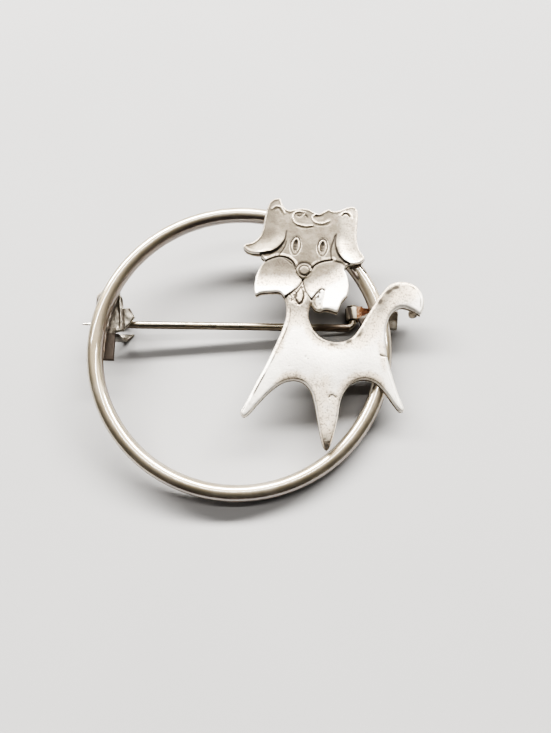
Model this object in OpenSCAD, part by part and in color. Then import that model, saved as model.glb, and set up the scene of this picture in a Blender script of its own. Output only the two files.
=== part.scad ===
// Round brooch with a dog figure, lying on its back.
// A wire ring carries a flat dog across its right half. A hinge leaf and a catch are soldered on
// behind it, and a bent wire pin stem swings in the leaf's rolled knuckle.
// Every piece is drawn in the ring's own plane, X to the right, Y to the top and Z to the front.
// The brooch is then laid down on the three points that touch the surface under it.

/* [Ring] */
// Diameter of the ring over its wire
ring_outer_d = 38; // [37:0.25:39]
// Thickness of the ring wire
ring_wire_d = 2; // [1.8:0.1:2.2]

/* [Dog figure] */
// Thickness of the dog's plate
dog_t = 1.1; // [0.8:0.1:1.6]
// How deep the plates of the dog, hinge and catch are seated into the ring wire
solder_sink = 0.15; // [0.1:0.05:0.3]
// Diameter of the small stub behind the tail
tail_stub_d = 1.1; // [0.8:0.1:1.4]
// How far the stub stands out behind the tail
tail_stub_len = 1.9; // [1:0.1:2]

/* [Pin stem] */
// Thickness of the pin stem's wire
stem_d = 1; // [0.8:0.1:1]
// Distance from the hinge to the point of the stem
stem_reach = 35.2; // [34.5:0.1:36]
// Length of the tapered point
point_len = 7.2; // [5:0.1:8]
// Thickness left at the very tip
tip_d = 0.24; // [0.2:0.02:0.4]
// Angle by which the stem is sprung sideways, towards the top of the ring
stem_yaw = 1.2; // [0.5:0.1:1.4]
// Angle by which the stem leans back from the ring's plane
stem_lean = 0.6; // [0:0.1:1]
// Inner corner radius where the wire is bent into the hinge
bend_in_r = 0.35; // [0.2:0.05:0.4]

/* [Hinge] */
// Distance of the hinge axis to the right of the ring's centre
hinge_x = 14.5; // [14.2:0.1:14.7]
// Height of the stem above the ring's centre, at the hinge
stem_y = 2.8; // [2.6:0.05:3]
// Thickness of the leaf and catch sheet
sheet_t = 0.4; // [0.35:0.05:0.45]
// Length of the rolled knuckle
knuckle_len = 1.7; // [1.5:0.1:1.9]
// Running gap round the wire inside the knuckle
knuckle_gap = 0.06; // [0.04:0.01:0.08]
// Length of the hinge leaf
leaf_len = 6.1; // [5.8:0.1:6.4]
// Width of the hinge leaf
leaf_w = 2.5; // [2.2:0.1:2.8]
// Angle by which the leaf was soldered on askew
leaf_askew = -6; // [-8:1:-4]

/* [Catch] */
// Length of the catch's base plate
catch_len = 9.8; // [9:0.1:10.5]
// Width of the catch's base plate
catch_w = 2.75; // [2.6:0.05:2.9]
// Height of the base plate's middle above the ring's centre
catch_y = 3.25; // [3:0.05:3.5]
// Depth of the hook's two lips behind the ring's plane
hook_depth = 4.9; // [4.7:0.1:5.1]
// Width of the hook's lips along the stem
lip_w = 1.3; // [1.1:0.1:1.5]
// Gap that each lip would leave to the full thickness of the stem where it swings out
mouth_gap = 0.15; // [0.1:0.05:0.25]

/* [Hidden] */
$fn = 64;

wire_r = ring_wire_d / 2;
ring_r = ring_outer_d / 2 - wire_r;
stem_r = stem_d / 2;
tip_r = tip_d / 2;
// The dog's back is seated in the ring at this height, and the fronts of the leaf and the catch
// plate lie as far behind the ring's middle plane. Their sheet reaches back to the second value.
seat_z = wire_r - solder_sink;
leaf_z = -seat_z - sheet_t;

// Knuckle: a tube along Y whose front is level with the leaf's front
bore_r = stem_r + knuckle_gap;
knuckle_r = bore_r + sheet_t;
hinge_z = -seat_z - knuckle_r;
bend_r = stem_r + bend_in_r;
// Length that the bend takes up on each of its two straight sides
bend_side = bend_r * tan(45 + stem_yaw / 2);
knuckle_end_gap = 0.1;
knuckle_y = stem_y + bend_side + knuckle_end_gap;
leaf_mid = [17.1, 3.85];
head_r = stem_r + 0.25;
head_t = 0.2;

// Middle of the stub behind the tail
tail_stub = [22.0, 4.25];

// Catch: the base plate reaches past the ring on both sides of its wire
catch_x = -18.65;
catch_corner = 0.7;
lip_r = 1.3;
lip_root_x = -17.2;
far_lip_x = -16.5;
near_lip_x = -15.9;
lip_slope_z = -2.9;
// Free edge of the tab that stands out from the plate in front of the stem
tab_edge = [[-15.9, 2.0], [-14.95, 2.2], [-14.45, 2.8], [-13.9, 3.65], [-13.65, 4.15], [-14.3, 5.3],
    [-15.1, 5.2], [-15.35, 6.6], [-15.5, 6.95], [-15.9, 7.1]];
// Height of the stem above the ring's centre, at the catch
caught_y = stem_y + (hinge_x - lip_root_x) * tan(stem_yaw);
far_lip_y = caught_y + stem_r + mouth_gap;
near_lip_y = caught_y - stem_r - mouth_gap;

// Outline of the dog, a smooth curve through each stretch and a corner where two stretches meet
ear_left = [[5.2, 19.35], [4.5, 19.3], [3.9, 18.9], [3.5, 18.0], [3.2, 16.6], [2.95, 15.1],
    [2.45, 13.9], [1.6, 13.15], [0.8, 12.95], [0.5, 12.6], [0.8, 12.1], [1.6, 11.7], [2.8, 11.55]];
cheek_left = [[2.8, 11.55], [2.75, 11.2], [3.25, 10.75]];
jowl_left = [[3.25, 10.75], [2.7, 10.0], [2.2, 8.9], [1.95, 7.6], [1.95, 6.5], [2.15, 6.05]];
lip_left = [[2.15, 6.05], [2.7, 6.35], [4.0, 6.45], [5.1, 6.4], [5.75, 5.6]];
front_leg = [[5.75, 5.6], [5.95, 4.6], [5.85, 3.2], [5.4, 1.6], [4.6, -0.3], [3.4, -2.8],
    [2.1, -5.3], [0.9, -7.7], [0.4, -8.6], [0.7, -9.15], [1.3, -8.85], [2.4, -7.6],
    [3.8, -6.15], [5.2, -5.1], [6.6, -4.7], [7.9, -5.05]];
middle_leg = [[8.8, -6.1], [9.2, -7.4], [9.6, -9.9], [10.0, -12.2], [10.45, -13.05], [10.95, -12.4],
    [11.65, -10.1], [12.15, -7.6], [12.7, -6.2], [13.7, -5.1]];
hind_leg = [[15.1, -4.65], [16.5, -5.05], [17.6, -6.2], [18.6, -7.7], [19.1, -8.4], [19.5, -8.6],
    [19.7, -8.15], [19.1, -6.4], [18.45, -3.9], [18.0, -1.7], [17.9, 0.4], [18.15, 2.2],
    [18.9, 3.75], [20.1, 4.45], [21.3, 4.15], [22.4, 3.45]];
tail_and_back = [[22.4, 3.45], [22.85, 4.4], [22.95, 5.4], [22.6, 6.5], [21.7, 7.4], [20.3, 7.75],
    [18.9, 7.4], [17.8, 6.2], [16.8, 4.7], [15.8, 3.2], [14.9, 1.7], [13.9, 0.5], [12.6, -0.05],
    [11.2, 0], [10.0, 0.55], [9.1, 1.6], [8.6, 2.9], [8.6, 4.1], [8.9, 4.85]];
lip_right = [[8.9, 4.85], [9.4, 4.2], [9.9, 3.95]];
chin_right = [[9.9, 3.95], [10.9, 4.1], [12.1, 3.75]];
jaw_right = [[12.1, 3.75], [12.7, 5.1], [13.4, 5.95]];
jowl_right = [[13.4, 5.95], [13.65, 7.1], [13.55, 8.5], [13.15, 9.5]];
cheek_right = [[13.15, 9.5], [13.6, 10.0]];
ear_right = [[13.6, 10.0], [14.5, 10.1], [15.2, 10.3], [15.7, 10.75], [15.7, 11.15], [15.25, 11.9],
    [14.95, 12.8], [14.9, 14.0], [15.0, 15.4], [15.15, 16.8], [15.05, 17.65], [14.6, 18.1],
    [13.8, 18.0], [12.7, 17.55], [11.9, 17.5], [11.4, 17.75], [10.8, 17.45], [10.1, 17.1],
    [9.5, 17.35], [8.8, 17.75], [7.9, 17.9], [7.0, 17.75], [6.4, 17.6], [5.9, 17.8]];
ear_fold = [[5.9, 17.8], [5.5, 18.3], [5.3, 18.8], [5.2, 19.35]];
stretches = [ear_left, cheek_left, jowl_left, lip_left, concat(front_leg, middle_leg, hind_leg),
    tail_and_back, lip_right, chin_right, jaw_right, jowl_right, cheek_right, ear_right, ear_fold];
steps_per_span = 3;

// One point of a smooth curve that passes from b to c, with a and d as its outer neighbours
function on_curve(a, b, c, d, t) =
    0.5 * (2 * b + (c - a) * t + (2 * a - 5 * b + 4 * c - d) * t * t
        + (3 * b - a - 3 * c + d) * t * t * t);

// A smooth open curve through the points, without its last point
function smooth(p) = let (n = len(p)) [
    for (i = [0 : n - 2], k = [0 : steps_per_span - 1])
        on_curve(p[max(i - 1, 0)], p[i], p[i + 1], p[min(i + 2, n - 1)], k / steps_per_span)
];

dog_outline = [for (s = stretches) each smooth(s)];

// Rest: the ring's lowest point, seen along the direction that will point straight up
function ring_touch(n) =
    let (flat = norm([n.x, n.y]))
    [-ring_r * n.x / flat, -ring_r * n.y / flat, 0] - wire_r * n;
// The near rim of the knuckle and the inner corner of the near lip, seen in the same way
function hinge_touch(n) =
    [hinge_x, knuckle_y, hinge_z] - knuckle_r * [n.x, 0, n.z] / norm([n.x, n.z]);
function catch_touch(n) =
    [near_lip_x + lip_w, near_lip_y, -hook_depth + lip_r]
        - lip_r * [0, n.y, n.z] / norm([n.y, n.z]);
function square_to(a, b, c) = let (m = cross(b - a, c - a)) m * sign(m.z) / norm(m);
function settle(n, rounds) = rounds == 0 ? n
    : settle(square_to(hinge_touch(n), catch_touch(n), ring_touch(n)), rounds - 1);
up = settle([-0.1, 0.1, 1] / norm([-0.1, 0.1, 1]), 12);
pitch = atan2(up.y, up.z);
roll = -atan2(up.x, norm([up.y, up.z]));

// A point of the ring's frame, turned as the brooch lies
function laid(p) =
    let (y = p.y * cos(pitch) - p.z * sin(pitch), z = p.y * sin(pitch) + p.z * cos(pitch))
    [p.x * cos(roll) + z * sin(roll), y, z * cos(roll) - p.x * sin(roll)];

// The box round the laid brooch, whose bottom centre is the origin
ring_half = ring_r * sqrt(1 - pow(laid([0, 0, 1]).y, 2)) + wire_r;
dog_corners = [for (p = dog_outline, z = [seat_z, seat_z + dog_t]) laid([p.x, p.y, z])];
stem_way = [-cos(stem_yaw) * cos(stem_lean), sin(stem_yaw), -cos(stem_yaw) * sin(stem_lean)];
tip = [hinge_x, stem_y, hinge_z] + stem_reach * stem_way;
x_low = laid(tip).x;
x_high = max([for (p = dog_corners) p.x]);
y_low = -ring_half;
y_high = max([for (p = dog_corners) p.y]);
rest_shift = [-(x_low + x_high) / 2, -(y_low + y_high) / 2, -laid(hinge_touch(up)).z];

// Turns and moves its children from the ring's frame to where the brooch lies
module as_it_lies() {
    translate(rest_shift)
        rotate([pitch, roll, 0])
            children();
}

module ring() {
    rotate_extrude($fn = 180)
        translate([ring_r, 0])
            circle(r = wire_r);
}

module dog() {
    translate([0, 0, seat_z])
        linear_extrude(dog_t)
            polygon(dog_outline);
    translate([tail_stub.x, tail_stub.y, seat_z - tail_stub_len])
        cylinder(d = tail_stub_d, h = tail_stub_len + dog_t / 2);
}

// The leaf and its knuckle, with the bore for the stem's bent end
module hinge_leaf() {
    difference() {
        union() {
            translate([leaf_mid.x, leaf_mid.y, leaf_z])
                rotate(leaf_askew)
                    translate([-leaf_len / 2, -leaf_w / 2, 0])
                        cube([leaf_len, leaf_w, sheet_t]);
            along_hinge(knuckle_y, knuckle_len, knuckle_r);
        }
        along_hinge(knuckle_y - 1, knuckle_len + 2, bore_r);
    }
}

// A cylinder on the hinge axis
module along_hinge(from_y, length, radius) {
    translate([hinge_x, from_y, hinge_z])
        rotate([-90, 0, 0])
            cylinder(r = radius, h = length);
}

// One lip of the hook: a wall that comes back from the base plate and curls in beside the stem.
// It is drawn for the side towards the top of the ring, and its end lies at the height end_y.
module lip(end_y, from_x) {
    to_x = from_x + lip_w;
    curl_z = lip_r - hook_depth;
    translate([from_x, end_y, curl_z])
        rotate([90, 0, 90])
            rotate(-90)
                rotate_extrude(angle = 90)
                    translate([lip_r - sheet_t, 0])
                        square([sheet_t, lip_w]);
    translate([0, end_y + lip_r, 0])
        rotate([90, 0, 0])
            linear_extrude(sheet_t)
                polygon([[lip_root_x, leaf_z + sheet_t / 2], [from_x, leaf_z + sheet_t / 2],
                    [to_x, lip_slope_z], [to_x, curl_z], [from_x, curl_z],
                    [lip_root_x, lip_slope_z]]);
}

// Base plate, the tab in front of the stem and the two lips beside it
module catch() {
    plate_y = catch_y - catch_len / 2;
    translate([0, 0, leaf_z])
        linear_extrude(sheet_t)
            polygon(concat([[catch_x, plate_y + catch_corner], [catch_x + catch_corner, plate_y],
                [catch_x + catch_w, plate_y]], tab_edge,
                [[catch_x + catch_w, plate_y + catch_len],
                [catch_x + 1.6 * catch_corner, plate_y + catch_len],
                [catch_x, plate_y + catch_len - 1.6 * catch_corner]]));
    lip(far_lip_y, far_lip_x);
    mirror([0, 1, 0])
        lip(-near_lip_y, near_lip_x);
}

module soldered_brooch() {
    color("silver")
        as_it_lies() {
            union() {
                ring();
                dog();
                hinge_leaf();
                catch();
            }
        }
}

// The stem runs from its bend to the point, and the bent leg runs through the knuckle
module pin_stem() {
    leg_len = knuckle_end_gap + knuckle_len + knuckle_end_gap;
    shank_len = stem_reach - bend_side - point_len;
    color("lightgray")
        as_it_lies() {
            union() {
                along_hinge(stem_y + bend_side, leg_len + head_t, stem_r);
                along_hinge(stem_y + bend_side + leg_len, head_t, head_r);
                translate([hinge_x, stem_y + bend_side, hinge_z])
                    rotate([0, -stem_lean, 0])
                        translate([-bend_r, 0, 0])
                            union() {
                                rotate([0, 0, -90 - stem_yaw])
                                    rotate_extrude(angle = 90 + stem_yaw)
                                        translate([bend_r, 0])
                                            circle(r = stem_r, $fn = 48);
                                rotate([0, 0, -90 - stem_yaw])
                                    translate([bend_r, 0, 0])
                                        rotate([90, 0, 0]) {
                                            cylinder(r = stem_r, h = shank_len);
                                            translate([0, 0, shank_len])
                                                cylinder(r1 = stem_r, r2 = tip_r, h = point_len);
                                        }
                            }
            }
        }
}

soldered_brooch();
pin_stem();
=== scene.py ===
"""Looks of a round wire brooch with a dog figure: ring, cast figure, findings, pin stem and stage."""

import math

import bpy
import numpy as np
from mathutils import Matrix, Vector, geometry, noise


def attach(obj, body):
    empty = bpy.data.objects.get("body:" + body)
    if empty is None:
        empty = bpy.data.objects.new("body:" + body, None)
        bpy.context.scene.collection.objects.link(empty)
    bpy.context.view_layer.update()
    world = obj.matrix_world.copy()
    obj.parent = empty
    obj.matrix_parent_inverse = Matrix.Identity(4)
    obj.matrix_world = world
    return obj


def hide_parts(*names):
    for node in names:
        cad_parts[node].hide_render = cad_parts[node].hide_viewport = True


bl_info = {
    "name": "Dog Brooch",
    "version": (1, 0, 0),
    "blender": (4, 5, 0),
    "location": "View3D > Sidebar > Dog Brooch",
    "description": "Builds a round wire brooch with a cast dog figure, its findings and its stage",
    "category": "Object",
}

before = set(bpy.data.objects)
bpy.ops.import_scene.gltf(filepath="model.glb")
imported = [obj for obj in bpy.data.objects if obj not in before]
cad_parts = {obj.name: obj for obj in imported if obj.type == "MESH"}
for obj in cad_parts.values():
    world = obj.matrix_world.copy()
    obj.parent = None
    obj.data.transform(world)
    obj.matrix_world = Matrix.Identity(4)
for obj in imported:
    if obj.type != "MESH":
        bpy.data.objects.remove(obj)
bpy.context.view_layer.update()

# All shapes are drawn in millimetres in the ring's own plane, with X to the right, Y to the
# dog's head and Z to the front. LAID turns them as the brooch lies and brings them to metres.
MM = 0.001
PITCH = math.radians(6.42667)
ROLL = math.radians(4.37967)
RING_CENTRE = (-1.16105, -0.123187, 3.43415)
TURN = Matrix.Rotation(ROLL, 3, "Y") @ Matrix.Rotation(PITCH, 3, "X")
LAID = Matrix.Translation(Vector(RING_CENTRE) * MM) @ TURN.to_4x4() @ Matrix.Scale(MM, 4)

# Bodies and material slots of the frame
BROOCH = "brooch"
STEM = "pin_stem"
SILVER_SLOT = "silver_metal"
WIRE_SLOT = "stem_wire"

# Heights and places in the ring's plane, shared by the pieces
SEAT_Z = 0.85  # the figure's back
FRONT_Z = 1.95  # the figure's front in the construction
LEAF_Z = -1.25  # the back of the hinge leaf and of the catch plate
SHEET_T = 0.4  # thickness of their sheet
HINGE_X, HINGE_Z = 14.5, -1.81  # the middle of the stem's leg
KNUCKLE_Y = (3.768, 5.468)  # the knuckle's two ends
STEM_Y = 2.8  # where the stem's line meets its leg
HOOK_R = 1.3  # outer radius of the hook's lips
HOOK_BOTTOM = -4.9  # the lips' lowest place

# The photograph's width to its height, and its camera in the ring's plane
PHOTO_SHAPE = 551 / 733
CAMERA_AT = (4.865, -18.611, 66.240)
CAMERA_WAY = (-0.00509, 0.23345, -0.97236)
CAMERA_UP = (0.00122, 0.97237, 0.23344)

# The stage, in metres
FLOOR_SIZE = 1.2
FLOOR_Z = -0.00001
LAMP_DISTANCE = 0.8

# How many points are measured at a time, and the square cells that hold one point each
CHUNK = 4000
RING_CELL = 0.035
LINE_CELL = 0.045
GRID_CELL = 0.05

# Outline of the figure, one list for each stretch between two corners
OUTLINE = [
    # left ear
    [(5.2, 19.35), (4.5, 19.3), (3.9, 18.9), (3.5, 18.0), (3.2, 16.6), (2.95, 15.1), (2.45, 13.9),
     (1.6, 13.15), (0.8, 12.95), (0.5, 12.6), (0.8, 12.1), (1.6, 11.7), (2.8, 11.55)],
    # left cheek
    [(2.8, 11.55), (2.75, 11.2), (3.25, 10.75)],
    # left jowl
    [(3.25, 10.75), (2.7, 10.0), (2.2, 8.9), (1.95, 7.6), (1.95, 6.5), (2.15, 6.05)],
    # left lip
    [(2.15, 6.05), (2.7, 6.35), (4.0, 6.45), (5.1, 6.4), (5.75, 5.6)],
    # front, middle and hind legs
    [(5.75, 5.6), (5.95, 4.6), (5.85, 3.2), (5.4, 1.6), (4.6, -0.3), (3.4, -2.8), (2.1, -5.3),
     (0.9, -7.7), (0.4, -8.6), (0.7, -9.15), (1.3, -8.85), (2.4, -7.6), (3.8, -6.15),
     (5.2, -5.1), (6.6, -4.7), (7.9, -5.05), (8.8, -6.1), (9.2, -7.4), (9.6, -9.9),
     (10.0, -12.2), (10.45, -13.05), (10.95, -12.4), (11.65, -10.1), (12.15, -7.6),
     (12.7, -6.2), (13.7, -5.1), (15.1, -4.65), (16.5, -5.05), (17.6, -6.2), (18.6, -7.7),
     (19.1, -8.4), (19.5, -8.6), (19.7, -8.15), (19.1, -6.4), (18.45, -3.9), (18.0, -1.7),
     (17.9, 0.4), (18.15, 2.2), (18.9, 3.75), (20.1, 4.45), (21.3, 4.15), (22.4, 3.45)],
    # tail and back
    [(22.4, 3.45), (22.85, 4.4), (22.95, 5.4), (22.6, 6.5), (21.7, 7.4), (20.3, 7.75),
     (18.9, 7.4), (17.8, 6.2), (16.8, 4.7), (15.8, 3.2), (14.9, 1.7), (13.9, 0.5),
     (12.6, -0.05), (11.2, 0.0), (10.0, 0.55), (9.1, 1.6), (8.6, 2.9), (8.6, 4.1), (8.9, 4.85)],
    # right lip, chin and jaw
    [(8.9, 4.85), (9.4, 4.2), (9.9, 3.95)],
    [(9.9, 3.95), (10.9, 4.1), (12.1, 3.75)],
    [(12.1, 3.75), (12.7, 5.1), (13.4, 5.95)],
    # right jowl and cheek
    [(13.4, 5.95), (13.65, 7.1), (13.55, 8.5), (13.15, 9.5)],
    [(13.15, 9.5), (13.6, 10.0)],
    # right ear and the top of the head
    [(13.6, 10.0), (14.5, 10.1), (15.2, 10.3), (15.7, 10.75), (15.7, 11.15), (15.25, 11.9),
     (14.95, 12.8), (14.9, 14.0), (15.0, 15.4), (15.15, 16.8), (15.05, 17.65), (14.6, 18.1),
     (13.8, 18.0), (12.7, 17.55), (11.9, 17.5), (11.4, 17.75), (10.8, 17.45), (10.1, 17.1),
     (9.5, 17.35), (8.8, 17.75), (7.9, 17.9), (7.0, 17.75), (6.4, 17.6), (5.9, 17.8)],
    # notch beside the left ear
    [(5.9, 17.8), (5.5, 18.3), (5.3, 18.8), (5.2, 19.35)],
]

# Lines of the face, in the order of a walk round each feature
EAR_EDGE_LEFT = [(5.95, 14.7), (5.75, 13.6), (5.4, 12.9), (4.9, 12.3), (4.2, 11.85), (3.2, 11.65),
                 (2.6, 11.5)]
EAR_EDGE_RIGHT = [(12.3, 14.25), (12.15, 13.2), (12.2, 12.3), (12.5, 11.4), (13.1, 10.6), (13.8, 10.15)]
CHEEK_LEFT = [(5.95, 13.3), (5.75, 12.6), (5.4, 11.95), (4.95, 11.35)]
CHEEK_RIGHT = [(12.15, 14.0), (11.9, 13.2), (11.6, 12.3), (11.55, 11.5), (11.6, 10.75)]
MUZZLE_LEFT = [(3.25, 10.6), (3.6, 10.8), (4.4, 11.1), (5.1, 11.25), (5.7, 11.15), (6.3, 10.9),
               (6.8, 10.4), (7.0, 9.9)]
MUZZLE_RIGHT = [(9.1, 9.6), (9.6, 10.1), (10.3, 10.45), (11.0, 10.6), (11.7, 10.72)]
MOUTH_LEFT = [(7.95, 8.0), (7.4, 7.2), (6.8, 6.6), (6.2, 6.1), (5.75, 5.75)]
MOUTH_RIGHT = [(7.95, 8.0), (8.1, 7.2), (8.35, 6.4), (8.75, 5.75), (9.0, 5.4)]
MOUTH_WAVE = [(9.0, 5.4), (9.4, 5.9), (9.9, 6.5), (10.3, 6.75), (10.6, 6.6)]

LOBE_LEFT = MUZZLE_LEFT + [(7.15, 9.1), (7.5, 8.5)] + MOUTH_LEFT + [(5.0, 5.0), (1.0, 5.0), (1.0, 10.0)]
LOBE_RIGHT = MUZZLE_RIGHT + [(13.0, 10.3), (14.5, 9.0), (14.5, 3.0), (10.3, 3.0), (10.3, 4.6), (10.5, 5.6)]
LOBE_RIGHT += MOUTH_WAVE[::-1] + MOUTH_RIGHT[::-1][1:] + [(8.4, 8.6), (9.0, 9.2)]
TAG = [(7.92, 7.85), (7.35, 7.05), (6.7, 6.4), (6.15, 5.95), (6.3, 5.2), (6.9, 4.85), (7.5, 4.55),
       (8.0, 5.0), (8.4, 5.9), (8.15, 7.0)]
TAG_LOZENGE = [(7.72, 7.05), (7.2, 6.2), (7.05, 5.55), (7.45, 4.85), (7.8, 5.2), (8.0, 5.9), (7.9, 6.5)]
FLAP = [(9.05, 5.35), (9.4, 5.9), (9.9, 6.5), (10.25, 6.7), (10.35, 6.2), (10.05, 5.6), (10.2, 5.0),
        (10.0, 4.4), (9.7, 4.15), (9.4, 4.6)]
EAR_LEFT = EAR_EDGE_LEFT + [(0.0, 11.0), (0.0, 20.0), (5.95, 20.0)]
EAR_RIGHT = EAR_EDGE_RIGHT + [(16.5, 9.5), (16.5, 19.0), (12.3, 19.0)]

# Engraved and raised strokes: points, height (below zero is cut in) and half width
STROKES = [
    ([(4.05, 17.85), (4.4, 18.15), (4.75, 18.25), (5.1, 18.15), (5.35, 17.95), (5.7, 17.3)], 0.09, 0.12),
    ([(4.5, 17.75), (4.85, 17.9), (5.15, 17.65), (5.3, 17.35)], -0.05, 0.1),
    ([(8.25, 17.3), (7.6, 17.45), (7.0, 17.25), (6.75, 16.7), (6.9, 16.1), (7.3, 15.7), (8.4, 15.4),
      (9.2, 15.45)], 0.11, 0.12),
    ([(8.2, 16.95), (8.3, 17.15), (8.2, 17.3)], 0.09, 0.11),
    ([(7.35, 15.3), (8.3, 15.08), (9.3, 15.2)], -0.035, 0.08),
    ([(7.4, 16.85), (7.65, 16.8), (7.9, 16.9)], -0.06, 0.1),
    ([(8.5, 16.85), (8.6, 16.7)], -0.08, 0.1),
    ([(7.5, 16.2), (8.0, 15.95), (8.8, 15.95)], 0.02, 0.3),
    ([(9.95, 17.15), (9.4, 16.8), (9.3, 16.35), (9.6, 15.95), (10.2, 15.78), (10.8, 15.82),
      (11.4, 16.1)], 0.1, 0.12),
    ([(9.7, 15.5), (10.5, 15.42), (11.2, 15.55), (11.6, 15.8)], -0.03, 0.08),
    ([(9.75, 16.6), (10.15, 16.65), (10.6, 16.75)], -0.03, 0.2),
    ([(12.9, 16.85), (13.2, 17.2), (13.6, 17.35), (14.05, 17.2), (14.35, 16.8), (14.4, 16.4)], 0.07, 0.1),
    ([(13.1, 16.85), (13.45, 17.1), (13.8, 17.05), (14.1, 16.7)], -0.08, 0.08),
    (CHEEK_LEFT, -0.07, 0.08),
    (CHEEK_RIGHT, -0.09, 0.09),
    (MUZZLE_LEFT, -0.1, 0.1),
    (MUZZLE_RIGHT, -0.1, 0.1),
    ([(5.6, 10.95), (6.1, 10.65), (6.5, 10.25)], -0.06, 0.09),
    (MOUTH_LEFT, -0.14, 0.1),
    (MOUTH_RIGHT, -0.1, 0.08),
    (MOUTH_WAVE, -0.16, 0.1),
    ([(8.85, 5.55), (9.25, 5.0), (9.55, 4.45)], -0.04, 0.12),
    ([(7.72, 7.1), (7.12, 6.2), (7.0, 5.5), (7.45, 4.75), (7.85, 5.15), (8.07, 5.9),
      (7.95, 6.6)], -0.08, 0.08),
    ([(6.35, 6.05), (6.6, 5.6), (6.5, 5.2)], -0.06, 0.08),
    ([(6.6, 6.25), (6.85, 5.75), (6.7, 5.35)], -0.06, 0.07),
    ([(6.0, 5.75), (6.2, 5.6), (6.25, 5.3)], -0.04, 0.07),
]

# Centre and radius of the nose; of each eye the centre, half width and height of its lid,
# half width and height of its hollow, and how it leans
NOSE = (8.15, 9.25)
NOSE_R = 0.66
EYES = [((7.08, 12.62), 0.45, 1.0, 0.17, 0.74, 0.1), ((10.5, 12.38), 0.45, 0.96, 0.17, 0.64, 0.08)]

# Small pits and dents of the cast body: place, depth and radius
PITS = [
    ((11.2, -6.75), 0.07, 0.13), ((11.42, -6.95), 0.05, 0.1), ((11.0, -6.85), 0.04, 0.08),
    ((11.1, -7.3), 0.03, 0.07), ((7.2, -0.3), 0.03, 0.08), ((8.15, -1.9), 0.04, 0.12),
    ((8.45, -2.15), 0.03, 0.08), ((6.2, -3.1), 0.05, 0.09), ((13.4, -1.05), 0.04, 0.08),
    ((17.65, -2.45), 0.04, 0.08), ((10.3, -11.85), 0.04, 0.1), ((10.55, -12.7), 0.12, 0.4),
    ((10.72, -12.2), 0.05, 0.14), ((10.88, -7.2), 0.05, 0.09),
]

# Dark stains of the body, and one line of painted shade: line, depth, half width and how dark
STAINS = [
    ([(17.15, -1.7), (17.6, -1.87), (18.1, -1.87)], 0.06, 0.12, 1.0),
    ([(17.3, 4.75), (17.85, 5.6), (18.5, 6.35), (19.3, 6.85), (19.9, 7.05)], 0.02, 0.3, 1.0),
    ([(14.0, 0.2), (14.7, 0.95), (15.5, 2.1), (16.3, 3.4), (17.0, 4.4)], 0.01, 0.22, 0.45),
    ([(21.1, 7.3), (22.0, 6.6), (22.45, 5.5), (22.4, 4.4)], 0.0, 0.09, 0.85),
    ([(19.7, 7.15), (20.4, 7.3), (21.2, 7.1)], 0.0, 0.1, 0.4),
    ([(9.0, 1.25), (9.7, 0.38), (10.5, -0.02), (11.6, -0.2)], 0.0, 0.12, 0.8),
    ([(11.3, -0.38), (12.3, -0.34), (13.2, -0.12), (14.2, 0.42), (15.1, 1.2)], 0.0, 0.33, 0.8),
    ([(10.86, -6.9), (11.0, -6.68), (11.3, -6.6), (11.65, -6.88)], 0.05, 0.1, 1.0),
    # painted shade along the hind leg's right edge
    ([(18.2, -1.1), (18.25, -1.9), (18.5, -2.8)], 0.0, 0.14, 1.0),
    ([(18.0, -3.9), (18.6, -6.2), (19.2, -8.0)], 0.0, 0.09, 0.4),
    ([(4.6, 17.3), (3.9, 18.0), (4.2, 18.7)], 0.0, 0.16, 0.35),
]

# Lines along the front leg, the tail and the back
LEG_LINE = [(6.35, 4.3), (6.3, 3.0), (5.85, 1.5), (5.05, -0.4), (3.85, -2.9), (2.55, -5.3), (1.4, -7.5)]
TAIL_LINE = [(14.6, 1.0), (15.6, 2.6), (16.6, 4.2), (17.9, 5.8), (19.3, 6.8), (20.6, 7.0)]
BACK_LINE = [(8.6, 3.2), (9.1, 1.6), (10.0, 0.55), (11.2, 0.0), (12.6, -0.05), (13.9, 0.5), (14.9, 1.7)]

# Rows of the figure's wall: share of the way to the back, how far it stands proud, how dark, how satin. The
# darkness and satin paint shade on the wall over brown tarnish, darkest next to the front, and leave a
# bright painted highlight near the back.
WALL = [
    (0.25, 0.012, 0.95, 0.75), (0.55, 0.02, 0.5, 0.5), (0.82, 0.024, 0.1, 0.15),
    (0.94, 0.012, 0.0, 0.05), (1.0, -0.05, 0.2, 0.4),
]

# Beads of solder: distance from the ring's centre, height, first and last angle in degrees,
# half width, and 1 on the right or -1 on the left
BEADS = [
    (17.2, -0.8, -5, 25, 0.26, -1), (18.72, -0.82, 8, 24, 0.24, -1), (17.15, -0.8, 8.5, 13.5, 0.28, 1),
    (18.78, -0.8, 8, 16.5, 0.26, 1), (17.25, 0.78, 60, 78, 0.22, 1), (18.7, 0.78, 62, 78.5, 0.2, 1),
    (17.3, 0.78, 29.5, 36, 0.26, 1), (18.5, 0.78, 30, 35, 0.24, 1), (17.3, 0.78, 12.5, 16, 0.22, 1),
    (18.6, 0.78, 9, 18, 0.2, 1), (17.3, 0.78, -19, -4, 0.2, 1), (18.5, 0.78, -17, -10, 0.18, 1),
]


# Shapes


def along(points, spacing):
    """Smooth curve through the points, cut to even steps."""
    p = np.asarray(points, float)
    p = np.vstack([2 * p[0] - p[1], p, 2 * p[-1] - p[-2]])
    a, b, c, d = p[:-3, None], p[1:-2, None], p[2:-1, None], p[3:, None]
    t = np.linspace(0, 1, 13)[:-1, None]
    fine = 0.5 * (2 * b + (c - a) * t + (2 * a - 5 * b + 4 * c - d) * t**2 + (3 * b - a - 3 * c + d) * t**3)
    fine = np.vstack([fine.reshape(-1, p.shape[1]), p[-2:-1]])
    run = np.r_[0, np.cumsum(np.linalg.norm(np.diff(fine, axis=0), axis=1))]
    where = np.linspace(0, run[-1], max(2, int(round(run[-1] / spacing)) + 1))
    return np.stack([np.interp(where, run, fine[:, k]) for k in range(fine.shape[1])], 1)


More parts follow.
